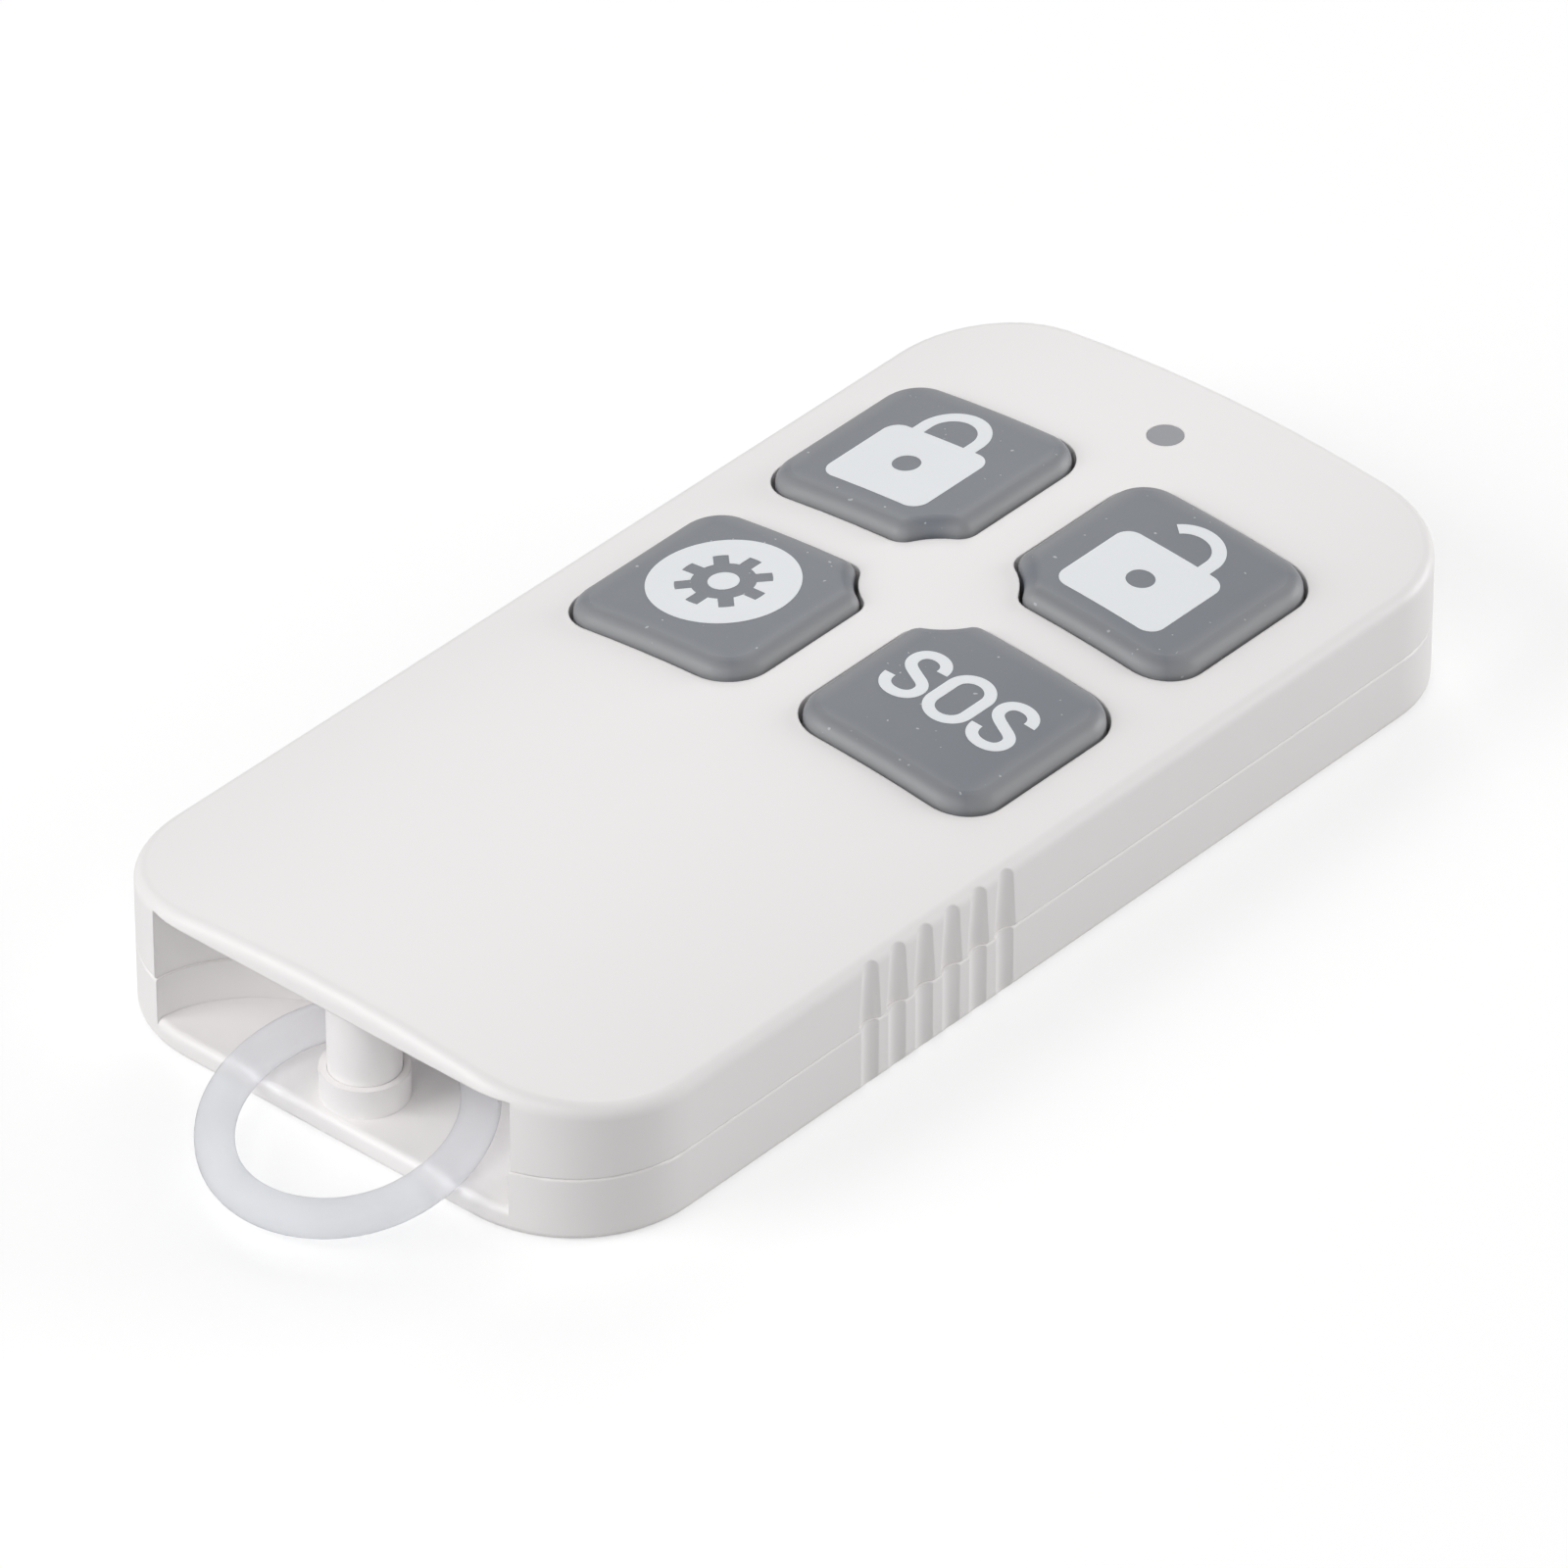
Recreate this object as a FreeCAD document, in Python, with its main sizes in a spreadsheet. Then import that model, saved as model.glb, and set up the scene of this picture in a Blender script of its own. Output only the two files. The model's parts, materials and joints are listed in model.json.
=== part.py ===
import FreeCAD, Part
import Sketcher
import math
import os

# Four button remote control of a burglar alarm.
# Frame: X is the width, Y the length with the key loop at the -Y end, Z up out of the back face.
# The back face lies on Z = 0 and the case is centred on X = 0, Y = 0.

SIZES = {
    "case_width": 38.0,
    "case_length": 76.4,
    "side_roof": 0.95,
    "crown_height": 1.8,
    "parting_height": 4.15,
    "parting_round": 0.15,
    "near_corner": 8.2,
    "far_corner": 7.2,
    "top_edge_radius": 0.8,
    "base_edge_radius": 0.5,
    "side_wall": 1.6,
    "floor_thickness": 1.1,
    "roof_thickness": 1.25,
    "slot_wall": 1.9,
    "cavity_near_corner": 3.0,
    "relief_side": 4.4,
    "relief_clear": 1.4,
    "relief_end": 1.0,
    "root_depth": 0.3,
    "tongue_width": 0.5,
    "tongue_height": 1.0,
    "fit_gap": 0.05,
    "seat_gap": 0.02,
    "slot_side": 5.8,
    "slot_depth": 9.0,
    "slot_step": 0.15,
    "slot_floor": 1.5,
    "slot_roof": 1.45,
    "sill_radius": 0.45,
    "post_inset": 3.05,
    "pin_radius": 2.08,
    "pin_end_height": 2.0,
    "collar_radius": 2.55,
    "collar_height": 1.85,
    "loop_offset_x": 2.0,
    "loop_offset_y": 3.54,
    "loop_lift": 1.34,
    "loop_half_length": 7.95,
    "loop_half_width": 7.18,
    "loop_end_radius": 6.8,
    "loop_wire_radius": 1.12,
    "loop_turn": 20.0,
    "loop_tilt": 9.0,
    "key_margin": 3.4,
    "key_bridge": 3.2,
    "keypad_clear": 0.65,
    "key_travel": 0.2,
    "key_gap": 0.25,
    "key_corner": 2.8,
    "hub_radius": 4.55,
    "hub_corner": 1.1,
    "key_rise": 0.8,
    "key_edge_radius": 1.0,
    "flange_overlap": 0.45,
    "flange_thickness": 0.45,
    "stem_radius": 1.5,
    "lamp_radius": 1.07,
    "rib_pitch": 2.26,
    "rib_start": 23.15,
    "rib_radius": 1.15,
    "rib_depth": 0.45,
    "rib_taper": 3.0,
    "low_rib_depth": 0.25,
    "rib_count": 6,
    "boss_inset": 5.8,
    "boss_radius": 2.3,
    "screw_radius": 1.0,
    "screw_head_radius": 1.8,
    "screw_head_height": 0.8,
    "screw_recess": 1.0,
    "screw_length": 5.4,
    "pilot_roof": 0.2,
    "support_radius": 1.3,
    "support_inset": 2.4,
    "support_near": 3.1,
    "support_mid": 3.15,
    "board_clear": 0.43,
    "board_thickness": 0.8,
    "board_edge_gap": 0.5,
    "switch_size": 5.2,
    "switch_height": 0.65,
    "switch_floor": 0.1,
    "cover_thickness": 0.13,
    "cover_inset": 0.1,
    "plunger_radius": 1.15,
    "plunger_flange_radius": 1.4,
    "plunger_flange": 0.3,
    "plunger_proud": 0.05,
    "mat_thickness": 0.4,
    "mat_bead": 0.55,
    "mat_margin": 0.25,
    "cell_radius": 10.0,
    "cell_height": 3.2,
    "cell_wall": 0.25,
    "cradle_clear": 2.8,
    "cell_cap_rise": 0.3,
    "cell_seal_width": 0.6,
    "cell_heel_radius": 0.2,
    "cell_cap_radius": 0.25,
    "cradle_wall": 0.8,
    "cradle_height": 2.2,
    "cradle_gap_start": 5.0,
    "cradle_gap_length": 8.0,
    "cradle_gap_side": 1.0,
    "contact_thickness": 0.18,
    "contact_width": 4.0,
    "leaf_root_far": 6.5,
    "leaf_root_near": 3.5,
    "leaf_heel": 1.0,
    "leaf_tip": 2.5,
    "leaf_tip_lift": 0.08,
    "clip_foot_lift": 1.0,
    "clip_lean": 0.25,
    "clip_tail": 2.8,
    "lamp_body_length": 3.2,
    "lamp_body_width": 1.6,
    "lamp_body_height": 0.5,
    "lens_radius": 0.7,
    "lens_height": 0.6,
    "lens_round": 0.3,
    "pipe_gap": 0.1,
    "window_flange": 0.75,
    "window_flange_reach": 0.7,
    "controller_size": 6.0,
    "controller_height": 0.9,
    "controller_x": -6.5,
    "controller_back": 2.9,
    "radio_size": 4.0,
    "radio_height": 0.75,
    "radio_x": 5.5,
    "radio_back": 1.4,
    "crystal_length": 3.2,
    "crystal_width": 2.5,
    "crystal_height": 0.7,
    "crystal_x": 5.4,
    "crystal_back": 6.15,
    "small_part_length": 1.6,
    "small_part_width": 0.8,
    "small_part_gap": 1.9,
    "small_part_pitch": 3.5,
    "capacitor_height": 0.75,
    "resistor_height": 0.45,
    "aerial_length": 22.0,
    "aerial_near": 5.1,
    "aerial_height": 1.6,
    "aerial_wire_radius": 0.4,
}

doc = FreeCAD.newDocument("alarm_remote")
sheet = doc.addObject("Spreadsheet::Sheet", "sizes")
for row, (alias, number) in enumerate(SIZES.items(), start=1):
    sheet.set("A%d" % row, alias)
    sheet.set("B%d" % row, str(number))
    sheet.setAlias("B%d" % row, alias)
doc.recompute()

Vec = FreeCAD.Vector
UP = Vec(0, 0, 1)
ORIGIN = (-1, 1)
START, END, CENTRE = range(1, 4)
SAME = 1e-3
ON_SURFACE = 0.01
LEAST_CUT = 1e-4


def amount(text):
    """The number that an expression of named sizes gives."""
    return float(sheet.evalExpression(text))


# Expressions that several pieces share

HALF_W = "(sizes.case_width / 2)"
HALF_L = "(sizes.case_length / 2)"

# Heights, from the cell up to the crown

CELL_LOW = "(sizes.floor_thickness + sizes.seat_gap)"
BOARD_LOW = "(%s + sizes.cell_height + sizes.board_clear)" % CELL_LOW
BOARD_TOP = "(%s + sizes.board_thickness)" % BOARD_LOW
COVER_TOP = "(%s + sizes.switch_height + sizes.cover_thickness)" % BOARD_TOP
MAT_LOW = "(%s + sizes.seat_gap)" % COVER_TOP
MAT_TOP = "(%s + sizes.mat_thickness)" % MAT_LOW
PLUNGER_TOP = "(%s + sizes.plunger_proud)" % MAT_TOP
FLANGE_LOW = "(%s + sizes.key_travel + sizes.fit_gap)" % MAT_TOP
CEILING = "(%s + sizes.flange_thickness + sizes.fit_gap)" % FLANGE_LOW
EDGE_HEIGHT = "(%s + sizes.side_roof)" % CEILING
PEAK = "(%s + sizes.crown_height)" % EDGE_HEIGHT
ABOVE_CROWN = "(%s + 2 * sizes.crown_height)" % PEAK
SLOT_TOP = "(%s - sizes.slot_roof)" % PEAK

# Places across and along the case

CROWN_R = "((pow(sizes.case_width / 2; 2) + pow(sizes.crown_height; 2)) / (2 * sizes.crown_height))"
CAVITY_X = "(%s - sizes.side_wall)" % HALF_W
CAVITY_NEAR = "(sizes.slot_depth + sizes.slot_wall - %s)" % HALF_L
CAVITY_FAR = "(%s - sizes.side_wall)" % HALF_L
CAVITY_FAR_R = "(sizes.far_corner - sizes.side_wall)"
SLOT_HALF = "(%s - sizes.slot_side)" % HALF_W
POST_Y = "(sizes.post_inset - %s)" % HALF_L
BOSS_X = "(%s - sizes.boss_inset)" % HALF_W
BOSS_Y = "(%s - sizes.boss_inset)" % HALF_L
LAMP_Y = BOSS_Y
KEY_HOLE = "(%s - sizes.key_margin - sizes.key_bridge / 2)" % HALF_W
KEY_HALF = "(%s / 2)" % KEY_HOLE
KEY_PLACE = "(%s + sizes.key_bridge / 2)" % KEY_HALF
MAT_X = "(%s + %s + sizes.flange_overlap + sizes.mat_margin)" % (KEY_PLACE, KEY_HALF)
MAT_OUT = "(%s + sizes.mat_bead)" % MAT_X
KEYPAD_Y = "(%s - sizes.boss_radius - sizes.keypad_clear - %s)" % (BOSS_Y, MAT_OUT)
CRADLE_R = "(sizes.cell_radius + 2 * sizes.fit_gap)"
CELL_Y = "(%s + sizes.cradle_clear + sizes.cradle_wall + %s)" % (CAVITY_NEAR, CRADLE_R)
SUPPORT_X = "(%s - sizes.support_inset)" % CAVITY_X
SUPPORT_NEAR_Y = "(%s + sizes.support_near)" % CAVITY_NEAR
SUPPORT_MID_Y = "(%s - %s - sizes.support_mid)" % (KEYPAD_Y, MAT_OUT)


# Sketch helpers

def origin_feature(body, role):
    """One of a body's own origin planes or axes."""
    found = [feature for feature in body.Origin.OriginFeatures if feature.Role == role]
    return found[0]


def new_body(name):
    """An empty body whose label is the name of its piece."""
    body = doc.addObject("PartDesign::Body", name)
    body.Label = name
    return body


def new_sketch(body, name, role="XY_Plane", offset="0"):
    """A sketch on a plane of its body, moved along the plane's normal by the offset."""
    sketch = body.newObject("Sketcher::SketchObject", name)
    sketch.AttachmentSupport = [(origin_feature(body, role), "")]
    sketch.MapMode = "FlatFace"
    sketch.setExpression("AttachmentOffset.Base.z", offset)
    return sketch


def bind(sketch, kind, refs, text):
    """A dimension of a sketch that follows an expression."""
    index = sketch.addConstraint(Sketcher.Constraint(kind, *refs, amount(text)))
    sketch.setExpression("Constraints[%d]" % index, text)


def pin_point(sketch, geo, pos, x_text, y_text):
    """Place a point of the sketch from its origin."""
    bind(sketch, "DistanceX", (*ORIGIN, geo, pos), x_text)
    bind(sketch, "DistanceY", (*ORIGIN, geo, pos), y_text)


def add_circle(sketch, x_text, y_text, radius_text):
    """A circle with its centre and radius bound to the sheet."""
    centre = Vec(amount(x_text), amount(y_text), 0)
    geo = sketch.addGeometry(Part.Circle(centre, UP, amount(radius_text)), False)
    pin_point(sketch, geo, CENTRE, x_text, y_text)
    bind(sketch, "Radius", (geo,), radius_text)
    return geo


def add_polygon(sketch, points):
    """A closed chain of lines through points given as pairs of expressions."""
    places = [Vec(amount(x), amount(y), 0) for x, y in points]
    count = len(places)
    first = sketch.GeometryCount
    for index in range(count):
        sketch.addGeometry(Part.LineSegment(places[index], places[(index + 1) % count]), False)
    for index in range(count):
        following = first + (index + 1) % count
        sketch.addConstraint(Sketcher.Constraint("Coincident", first + index, END, following, START))
    for index, (x_text, y_text) in enumerate(points):
        pin_point(sketch, first + index, START, x_text, y_text)


def add_rectangle(sketch, x_low, x_high, y_low, y_high):
    """A plain rectangle between four bound edges."""
    add_polygon(sketch, [(x_low, y_low), (x_high, y_low), (x_high, y_high), (x_low, y_high)])


def corner_arc(x, y, radius, quarter):
    """A quarter of a circle, counted counterclockwise from the +X side."""
    ring = Part.Circle(Vec(x, y, 0), UP, radius)
    start = quarter * math.pi / 2
    return Part.ArcOfCircle(ring, start, start + math.pi / 2)


def add_rounded(sketch, x_low, x_high, y_low, y_high, low_radius, high_radius):
    """A rectangle with one corner radius at its low Y end and another at its high Y end."""
    xa, xb, ya, yb = amount(x_low), amount(x_high), amount(y_low), amount(y_high)
    ra, rb = amount(low_radius), amount(high_radius)
    first = sketch.GeometryCount
    sketch.addGeometry(Part.LineSegment(Vec(xa + ra, ya, 0), Vec(xb - ra, ya, 0)), False)
    sketch.addGeometry(corner_arc(xb - ra, ya + ra, ra, 3), False)
    sketch.addGeometry(Part.LineSegment(Vec(xb, ya + ra, 0), Vec(xb, yb - rb, 0)), False)
    sketch.addGeometry(corner_arc(xb - rb, yb - rb, rb, 0), False)
    sketch.addGeometry(Part.LineSegment(Vec(xb - rb, yb, 0), Vec(xa + rb, yb, 0)), False)
    sketch.addGeometry(corner_arc(xa + rb, yb - rb, rb, 1), False)
    sketch.addGeometry(Part.LineSegment(Vec(xa, yb - rb, 0), Vec(xa, ya + ra, 0)), False)
    sketch.addGeometry(corner_arc(xa + ra, ya + ra, ra, 2), False)
    for index in range(8):
        one, two = first + index, first + (index + 1) % 8
        sketch.addConstraint(Sketcher.Constraint("Tangent", one, END, two, START))
    for index in (0, 4):
        sketch.addConstraint(Sketcher.Constraint("Horizontal", first + index))
    for index in (2, 6):
        sketch.addConstraint(Sketcher.Constraint("Vertical", first + index))
    bind(sketch, "DistanceY", (*ORIGIN, first, START), y_low)
    bind(sketch, "DistanceY", (*ORIGIN, first + 4, START), y_high)
    bind(sketch, "DistanceX", (*ORIGIN, first + 2, START), x_high)
    bind(sketch, "DistanceX", (*ORIGIN, first + 6, START), x_low)
    sketch.addConstraint(Sketcher.Constraint("Equal", first + 1, first + 7))
    sketch.addConstraint(Sketcher.Constraint("Equal", first + 3, first + 5))
    bind(sketch, "Radius", (first + 1,), low_radius)
    bind(sketch, "Radius", (first + 3,), high_radius)


def extrude(body, kind, sketch, name, length, symmetric=False, reverse=False):
    """A pad or a pocket of a sketch; a pocket has to take material away."""
    before = body.Shape.Volume if not body.Shape.isNull() else 0.0
    feature = body.newObject("PartDesign::" + kind, name)
    feature.Profile = sketch
    feature.Length = amount(length)
    feature.setExpression("Length", length)
    if symmetric:
        feature.SideType = "Symmetric"
    feature.Reversed = reverse
    sketch.Visibility = False
    doc.recompute()
    if kind == "Pocket" and not body.Shape.Volume < before - LEAST_CUT:
        raise ValueError(name + " cuts nothing")
    return feature


def pad(body, sketch, name, length, **options):
    return extrude(body, "Pad", sketch, name, length, **options)


def pocket(body, sketch, name, length, **options):
    return extrude(body, "Pocket", sketch, name, length, **options)


def round_edges(body, name, radius, wanted):
    """A fillet on the edges of the tip that the test picks."""
    tip = body.Tip
    picked = ["Edge%d" % (index + 1) for index, edge in enumerate(tip.Shape.Edges) if wanted(edge)]
    if not picked:
        raise ValueError(name + " finds no edge")
    feature = body.newObject("PartDesign::Fillet", name)
    feature.Base = (tip, picked)
    feature.Radius = amount(radius)
    feature.setExpression("Radius", radius)
    doc.recompute()
    return feature


def near(one, two, apart=SAME):
    return abs(one - two) < apart


def flat_at(height):
    """A test for edges that lie wholly at one height."""
    return lambda edge: near(edge.BoundBox.ZMin, height) and near(edge.BoundBox.ZMax, height)


def add_arch(sketch, radius_text, half_text, level_text):
    """An arc about the crown's centre line, closed by two uprights and a level line above or below it."""
    centre_z = "(%s - %s)" % (PEAK, CROWN_R)
    radius, half = amount(radius_text), amount(half_text)
    low, level = amount(centre_z), amount(level_text)
    rise = math.sqrt(radius ** 2 - half ** 2)
    angle = math.atan2(rise, half)
    ring = Part.Circle(Vec(0, low, 0), UP, radius)
    sketch.addGeometry(Part.ArcOfCircle(ring, angle, math.pi - angle), False)
    sketch.addGeometry(Part.LineSegment(Vec(-half, low + rise, 0), Vec(-half, level, 0)), False)
    sketch.addGeometry(Part.LineSegment(Vec(-half, level, 0), Vec(half, level, 0)), False)
    sketch.addGeometry(Part.LineSegment(Vec(half, level, 0), Vec(half, low + rise, 0)), False)
    for index in range(4):
        sketch.addConstraint(Sketcher.Constraint("Coincident", index, END, (index + 1) % 4, START))
    sketch.addConstraint(Sketcher.Constraint("Vertical", 1))
    sketch.addConstraint(Sketcher.Constraint("Vertical", 3))
    sketch.addConstraint(Sketcher.Constraint("Horizontal", 2))
    pin_point(sketch, 0, CENTRE, "0", centre_z)
    bind(sketch, "Radius", (0,), radius_text)
    bind(sketch, "DistanceX", (*ORIGIN, 1, START), "-1 * (%s)" % half_text)
    bind(sketch, "DistanceX", (*ORIGIN, 3, START), half_text)
    bind(sketch, "DistanceY", (*ORIGIN, 2, START), level_text)


def crown_cut(body, name, lift):
    """Cut a body along the case's crown, raised by the lift."""
    sketch = new_sketch(body, name + "_sketch", "XZ_Plane")
    beyond = " + sizes.side_wall"
    add_arch(sketch, "(%s + %s)" % (CROWN_R, lift), HALF_W + beyond, ABOVE_CROWN + beyond)
    pocket(body, sketch, name, "3 * sizes.case_length", symmetric=True)


def crown_relief(body, name, y_low, y_high):
    """Hollow the roof to an even thickness between two places along the case."""
    sketch = new_sketch(body, name + "_sketch", "XZ_Plane", "-1 * (%s)" % y_low)
    inner = "(%s - sizes.roof_thickness)" % CROWN_R
    add_arch(sketch, inner, "(%s - sizes.relief_side)" % HALF_W, CEILING)
    pocket(body, sketch, name, "(%s) - (%s)" % (y_high, y_low))


def follows_crown(edge, radius):
    """Whether the middle of an edge lies on the crown's surface, or on one raised from it."""
    middle = edge.valueAt((edge.FirstParameter + edge.LastParameter) / 2)
    reach = math.hypot(middle.x, middle.z - amount(PEAK) + amount(CROWN_R))
    return near(reach, radius, ON_SURFACE)


def key_profile(sketch, side_x, side_y, inset):
    """The outline of one key or its opening: three round corners, the inner one cut by the hub's arc."""
    low_text = "(%s - %s + %s)" % (KEY_PLACE, KEY_HALF, inset)
    high_text = "(%s + %s - %s)" % (KEY_PLACE, KEY_HALF, inset)
    corner_text = "(sizes.key_corner - %s)" % inset
    hub_text = "(sizes.hub_radius + %s)" % inset
    low, high, corner, hub = amount(low_text), amount(high_text), amount(corner_text), amount(hub_text)
    middle_y = amount(KEYPAD_Y)
    reach = math.sqrt(hub ** 2 - low ** 2)

    def at(x, y):
        return Vec(side_x * x, middle_y + side_y * y, 0)

    def arc(cx, cy, radius, x1, y1, x2, y2):
        """The short arc between two points about a centre, whichever way the quarter is turned."""
        centre = at(cx, cy)
        ring = Part.Circle(centre, UP, radius)
        one, two = ring.parameter(at(x1, y1)), ring.parameter(at(x2, y2))
        span = (two - one) % (2 * math.pi)
        if span < math.pi:
            return Part.ArcOfCircle(ring, one, one + span), START, END
        return Part.ArcOfCircle(ring, two, two + 2 * math.pi - span), END, START

    def line(x1, y1, x2, y2):
        return Part.LineSegment(at(x1, y1), at(x2, y2)), START, END

    chain = [
        line(low, reach, low, high - corner),
        arc(low + corner, high - corner, corner, low, high - corner, low + corner, high),
        line(low + corner, high, high - corner, high),
        arc(high - corner, high - corner, corner, high - corner, high, high, high - corner),
        line(high, high - corner, high, low + corner),
        arc(high - corner, low + corner, corner, high, low + corner, high - corner, low),
        line(high - corner, low, reach, low),
        arc(0, 0, hub, reach, low, low, reach),
    ]
    first = sketch.GeometryCount
    for geometry, begin, end in chain:
        sketch.addGeometry(geometry, False)
    for index in range(8):
        following = (index + 1) % 8
        refs = (first + index, chain[index][2], first + following, chain[following][1])
        kind = "Coincident" if index in (6, 7) else "Tangent"
        sketch.addConstraint(Sketcher.Constraint(kind, *refs))
    for index in (0, 4):
        sketch.addConstraint(Sketcher.Constraint("Vertical", first + index))
    for index in (2, 6):
        sketch.addConstraint(Sketcher.Constraint("Horizontal", first + index))
    for index in (3, 5):
        sketch.addConstraint(Sketcher.Constraint("Equal", first + 1, first + index))
    bind(sketch, "Radius", (first + 1,), corner_text)
    bind(sketch, "Radius", (first + 7,), hub_text)
    pin_point(sketch, first + 7, CENTRE, "0", KEYPAD_Y)
    across, along = "%d * %s", KEYPAD_Y + " + %d * %s"
    bind(sketch, "DistanceX", (*ORIGIN, first, START), across % (side_x, low_text))
    bind(sketch, "DistanceX", (*ORIGIN, first + 4, START), across % (side_x, high_text))
    bind(sketch, "DistanceY", (*ORIGIN, first + 2, START), along % (side_y, high_text))
    bind(sketch, "DistanceY", (*ORIGIN, first + 6, START), along % (side_y, low_text))


def hub_corners(inset):
    """A test for the upright edges where a key or its opening meets the hub's arc."""
    reach = amount("sizes.hub_radius + " + inset)
    middle_y = amount(KEYPAD_Y)

    def wanted(edge):
        box = edge.BoundBox
        upright = near(box.XLength, 0) and near(box.YLength, 0)
        return upright and near(math.hypot(box.XMin, box.YMin - middle_y), reach, ON_SURFACE)

    return wanted


def add_oval_slot(sketch, inset):
    """The plan of the loop's recess: an ellipse about the near end of the case, drawn in by the inset."""
    half_text, depth_text = "(%s - %s)" % (SLOT_HALF, inset), "(sizes.slot_depth - %s)" % inset
    major, minor = amount(half_text), amount(depth_text)
    centre = Vec(0, amount("-1 * " + HALF_L), 0)
    sketch.addGeometry(Part.Ellipse(centre + Vec(major, 0, 0), centre + Vec(0, minor, 0), centre), False)
    sketch.exposeInternalGeometry(0)
    sketch.addConstraint(Sketcher.Constraint("Horizontal", 1))
    pin_point(sketch, 0, CENTRE, "0", "-1 * " + HALF_L)
    bind(sketch, "Distance", (1,), "2 * " + half_text)
    bind(sketch, "Distance", (2,), "2 * " + depth_text)


def grip_grooves(body, name, depth, low, length, taper):
    """Upright scallops in both long sides, narrowing upwards by the taper, one pair patterned along the case."""
    sketch = new_sketch(body, name + "_sketch", "XY_Plane", low)
    out = "(%s - %s + sizes.rib_radius)" % (HALF_W, depth)
    first_y = "sizes.rib_start - " + HALF_L
    add_circle(sketch, out, first_y, "sizes.rib_radius")
    add_circle(sketch, "-1 * " + out, first_y, "sizes.rib_radius")
    first = pocket(body, sketch, name, length, reverse=True)
    first.setExpression("TaperAngle", "-1 * " + taper)
    doc.recompute()
    rows = body.newObject("PartDesign::LinearPattern", name + "_rows")
    rows.Originals = [first]
    rows.Direction = (origin_feature(body, "Y_Axis"), [""])
    rows.setExpression("Length", "sizes.rib_pitch * (sizes.rib_count - 1)")
    rows.setExpression("Occurrences", "sizes.rib_count")
    body.Tip = rows
    doc.recompute()
    if not rows.Shape.Volume < first.Shape.Volume - LEAST_CUT:
        raise ValueError(name + " has no rows")


def prism(name, x_low, x_high, y_low, y_high, base, height):
    """A plain block as a body of its own."""
    body = new_body(name)
    sketch = new_sketch(body, name + "_outline", "XY_Plane", base)
    add_rectangle(sketch, x_low, x_high, y_low, y_high)
    pad(body, sketch, name + "_block", height)
    return body


def small_parts(name, places, height):
    """Identical blocks on the board as one group, the ones marked as turned lying along the case."""
    long_side, short_side = "sizes.small_part_length", "sizes.small_part_width"
    solids = []
    for index, (x_text, y_text, turned) in enumerate(places):
        block = doc.addObject("Part::Box", "%s_%d" % (name, index + 1))
        along_x, along_y = (short_side, long_side) if turned else (long_side, short_side)
        block.setExpression("Length", along_x)
        block.setExpression("Width", along_y)
        block.setExpression("Height", height)
        block.setExpression("Placement.Base.x", "(%s) - %s / 2" % (x_text, along_x))
        block.setExpression("Placement.Base.y", "(%s) - %s / 2" % (y_text, along_y))
        block.setExpression("Placement.Base.z", BOARD_TOP)
        solids.append(block)
    return group(name, solids)


def group(name, solids):
    """Identical pieces that share one node."""
    compound = doc.addObject("Part::Compound", name)
    compound.Links = solids
    compound.Label = name
    doc.recompute()
    return compound


QUARTERS = {
    "lock": (-1, 1),
    "unlock": (1, 1),
    "settings": (-1, -1),
    "sos": (1, -1),
}


def key_x(side):
    return "(%d * %s)" % (side, KEY_PLACE)


def key_y(side):
    return "(%s + %d * %s)" % (KEYPAD_Y, side, KEY_PLACE)


SUPPORTS = [
    (SUPPORT_X, SUPPORT_NEAR_Y),
    ("-1 * " + SUPPORT_X, SUPPORT_NEAR_Y),
    (SUPPORT_X, SUPPORT_MID_Y),
    ("-1 * " + SUPPORT_X, SUPPORT_MID_Y),
]
BOSSES = [(BOSS_X, BOSS_Y), ("-1 * " + BOSS_X, BOSS_Y)]

pieces = []


def keep(piece):
    pieces.append(piece)
    return piece


# Upper shell: crowned roof, key openings, lamp hole, loop recess with its pin, rebate for the joint

top = keep(new_body("top_case"))
outline = new_sketch(top, "top_outline", "XY_Plane", "sizes.parting_height")
CASE_EDGES = ("-1 * " + HALF_W, HALF_W, "-1 * " + HALF_L, HALF_L)
add_rounded(outline, *CASE_EDGES, "sizes.near_corner", "sizes.far_corner")
pad(top, outline, "top_block", ABOVE_CROWN + " - sizes.parting_height")
crown_cut(top, "top_crown", "0")


def on_crown(edge):
    """Edges round the crowned face of the upper shell."""
    lowest = amount(EDGE_HEIGHT) - ON_SURFACE
    return edge.BoundBox.ZMin > lowest and follows_crown(edge, amount(CROWN_R))


PARTING = amount("sizes.parting_height")
round_edges(top, "top_rim", "sizes.top_edge_radius", on_crown)
round_edges(top, "top_parting_round", "sizes.parting_round", flat_at(PARTING))
grip_grooves(top, "top_grips", "sizes.rib_depth", "sizes.parting_height", PEAK, "sizes.rib_taper")
cavity = new_sketch(top, "top_cavity_sketch", "XY_Plane", "sizes.parting_height")
CAVITY_EDGES = ("-1 * " + CAVITY_X, CAVITY_X, CAVITY_NEAR, CAVITY_FAR)
CAVITY_CORNERS = ("sizes.cavity_near_corner", CAVITY_FAR_R)
add_rounded(cavity, *CAVITY_EDGES, *CAVITY_CORNERS)
pocket(top, cavity, "top_cavity", CEILING + " - sizes.parting_height", reverse=True)
KEYPAD_REACH = "(%s + %s + sizes.relief_clear)" % (KEY_PLACE, KEY_HALF)
NEAR_RELIEF = (CAVITY_NEAR + " + sizes.cavity_near_corner", "%s - %s" % (KEYPAD_Y, KEYPAD_REACH))
FAR_RELIEF = ("%s + %s" % (KEYPAD_Y, KEYPAD_REACH), CAVITY_FAR + " - sizes.relief_end")
crown_relief(top, "near_relief", *NEAR_RELIEF)
crown_relief(top, "far_relief", *FAR_RELIEF)
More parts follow.
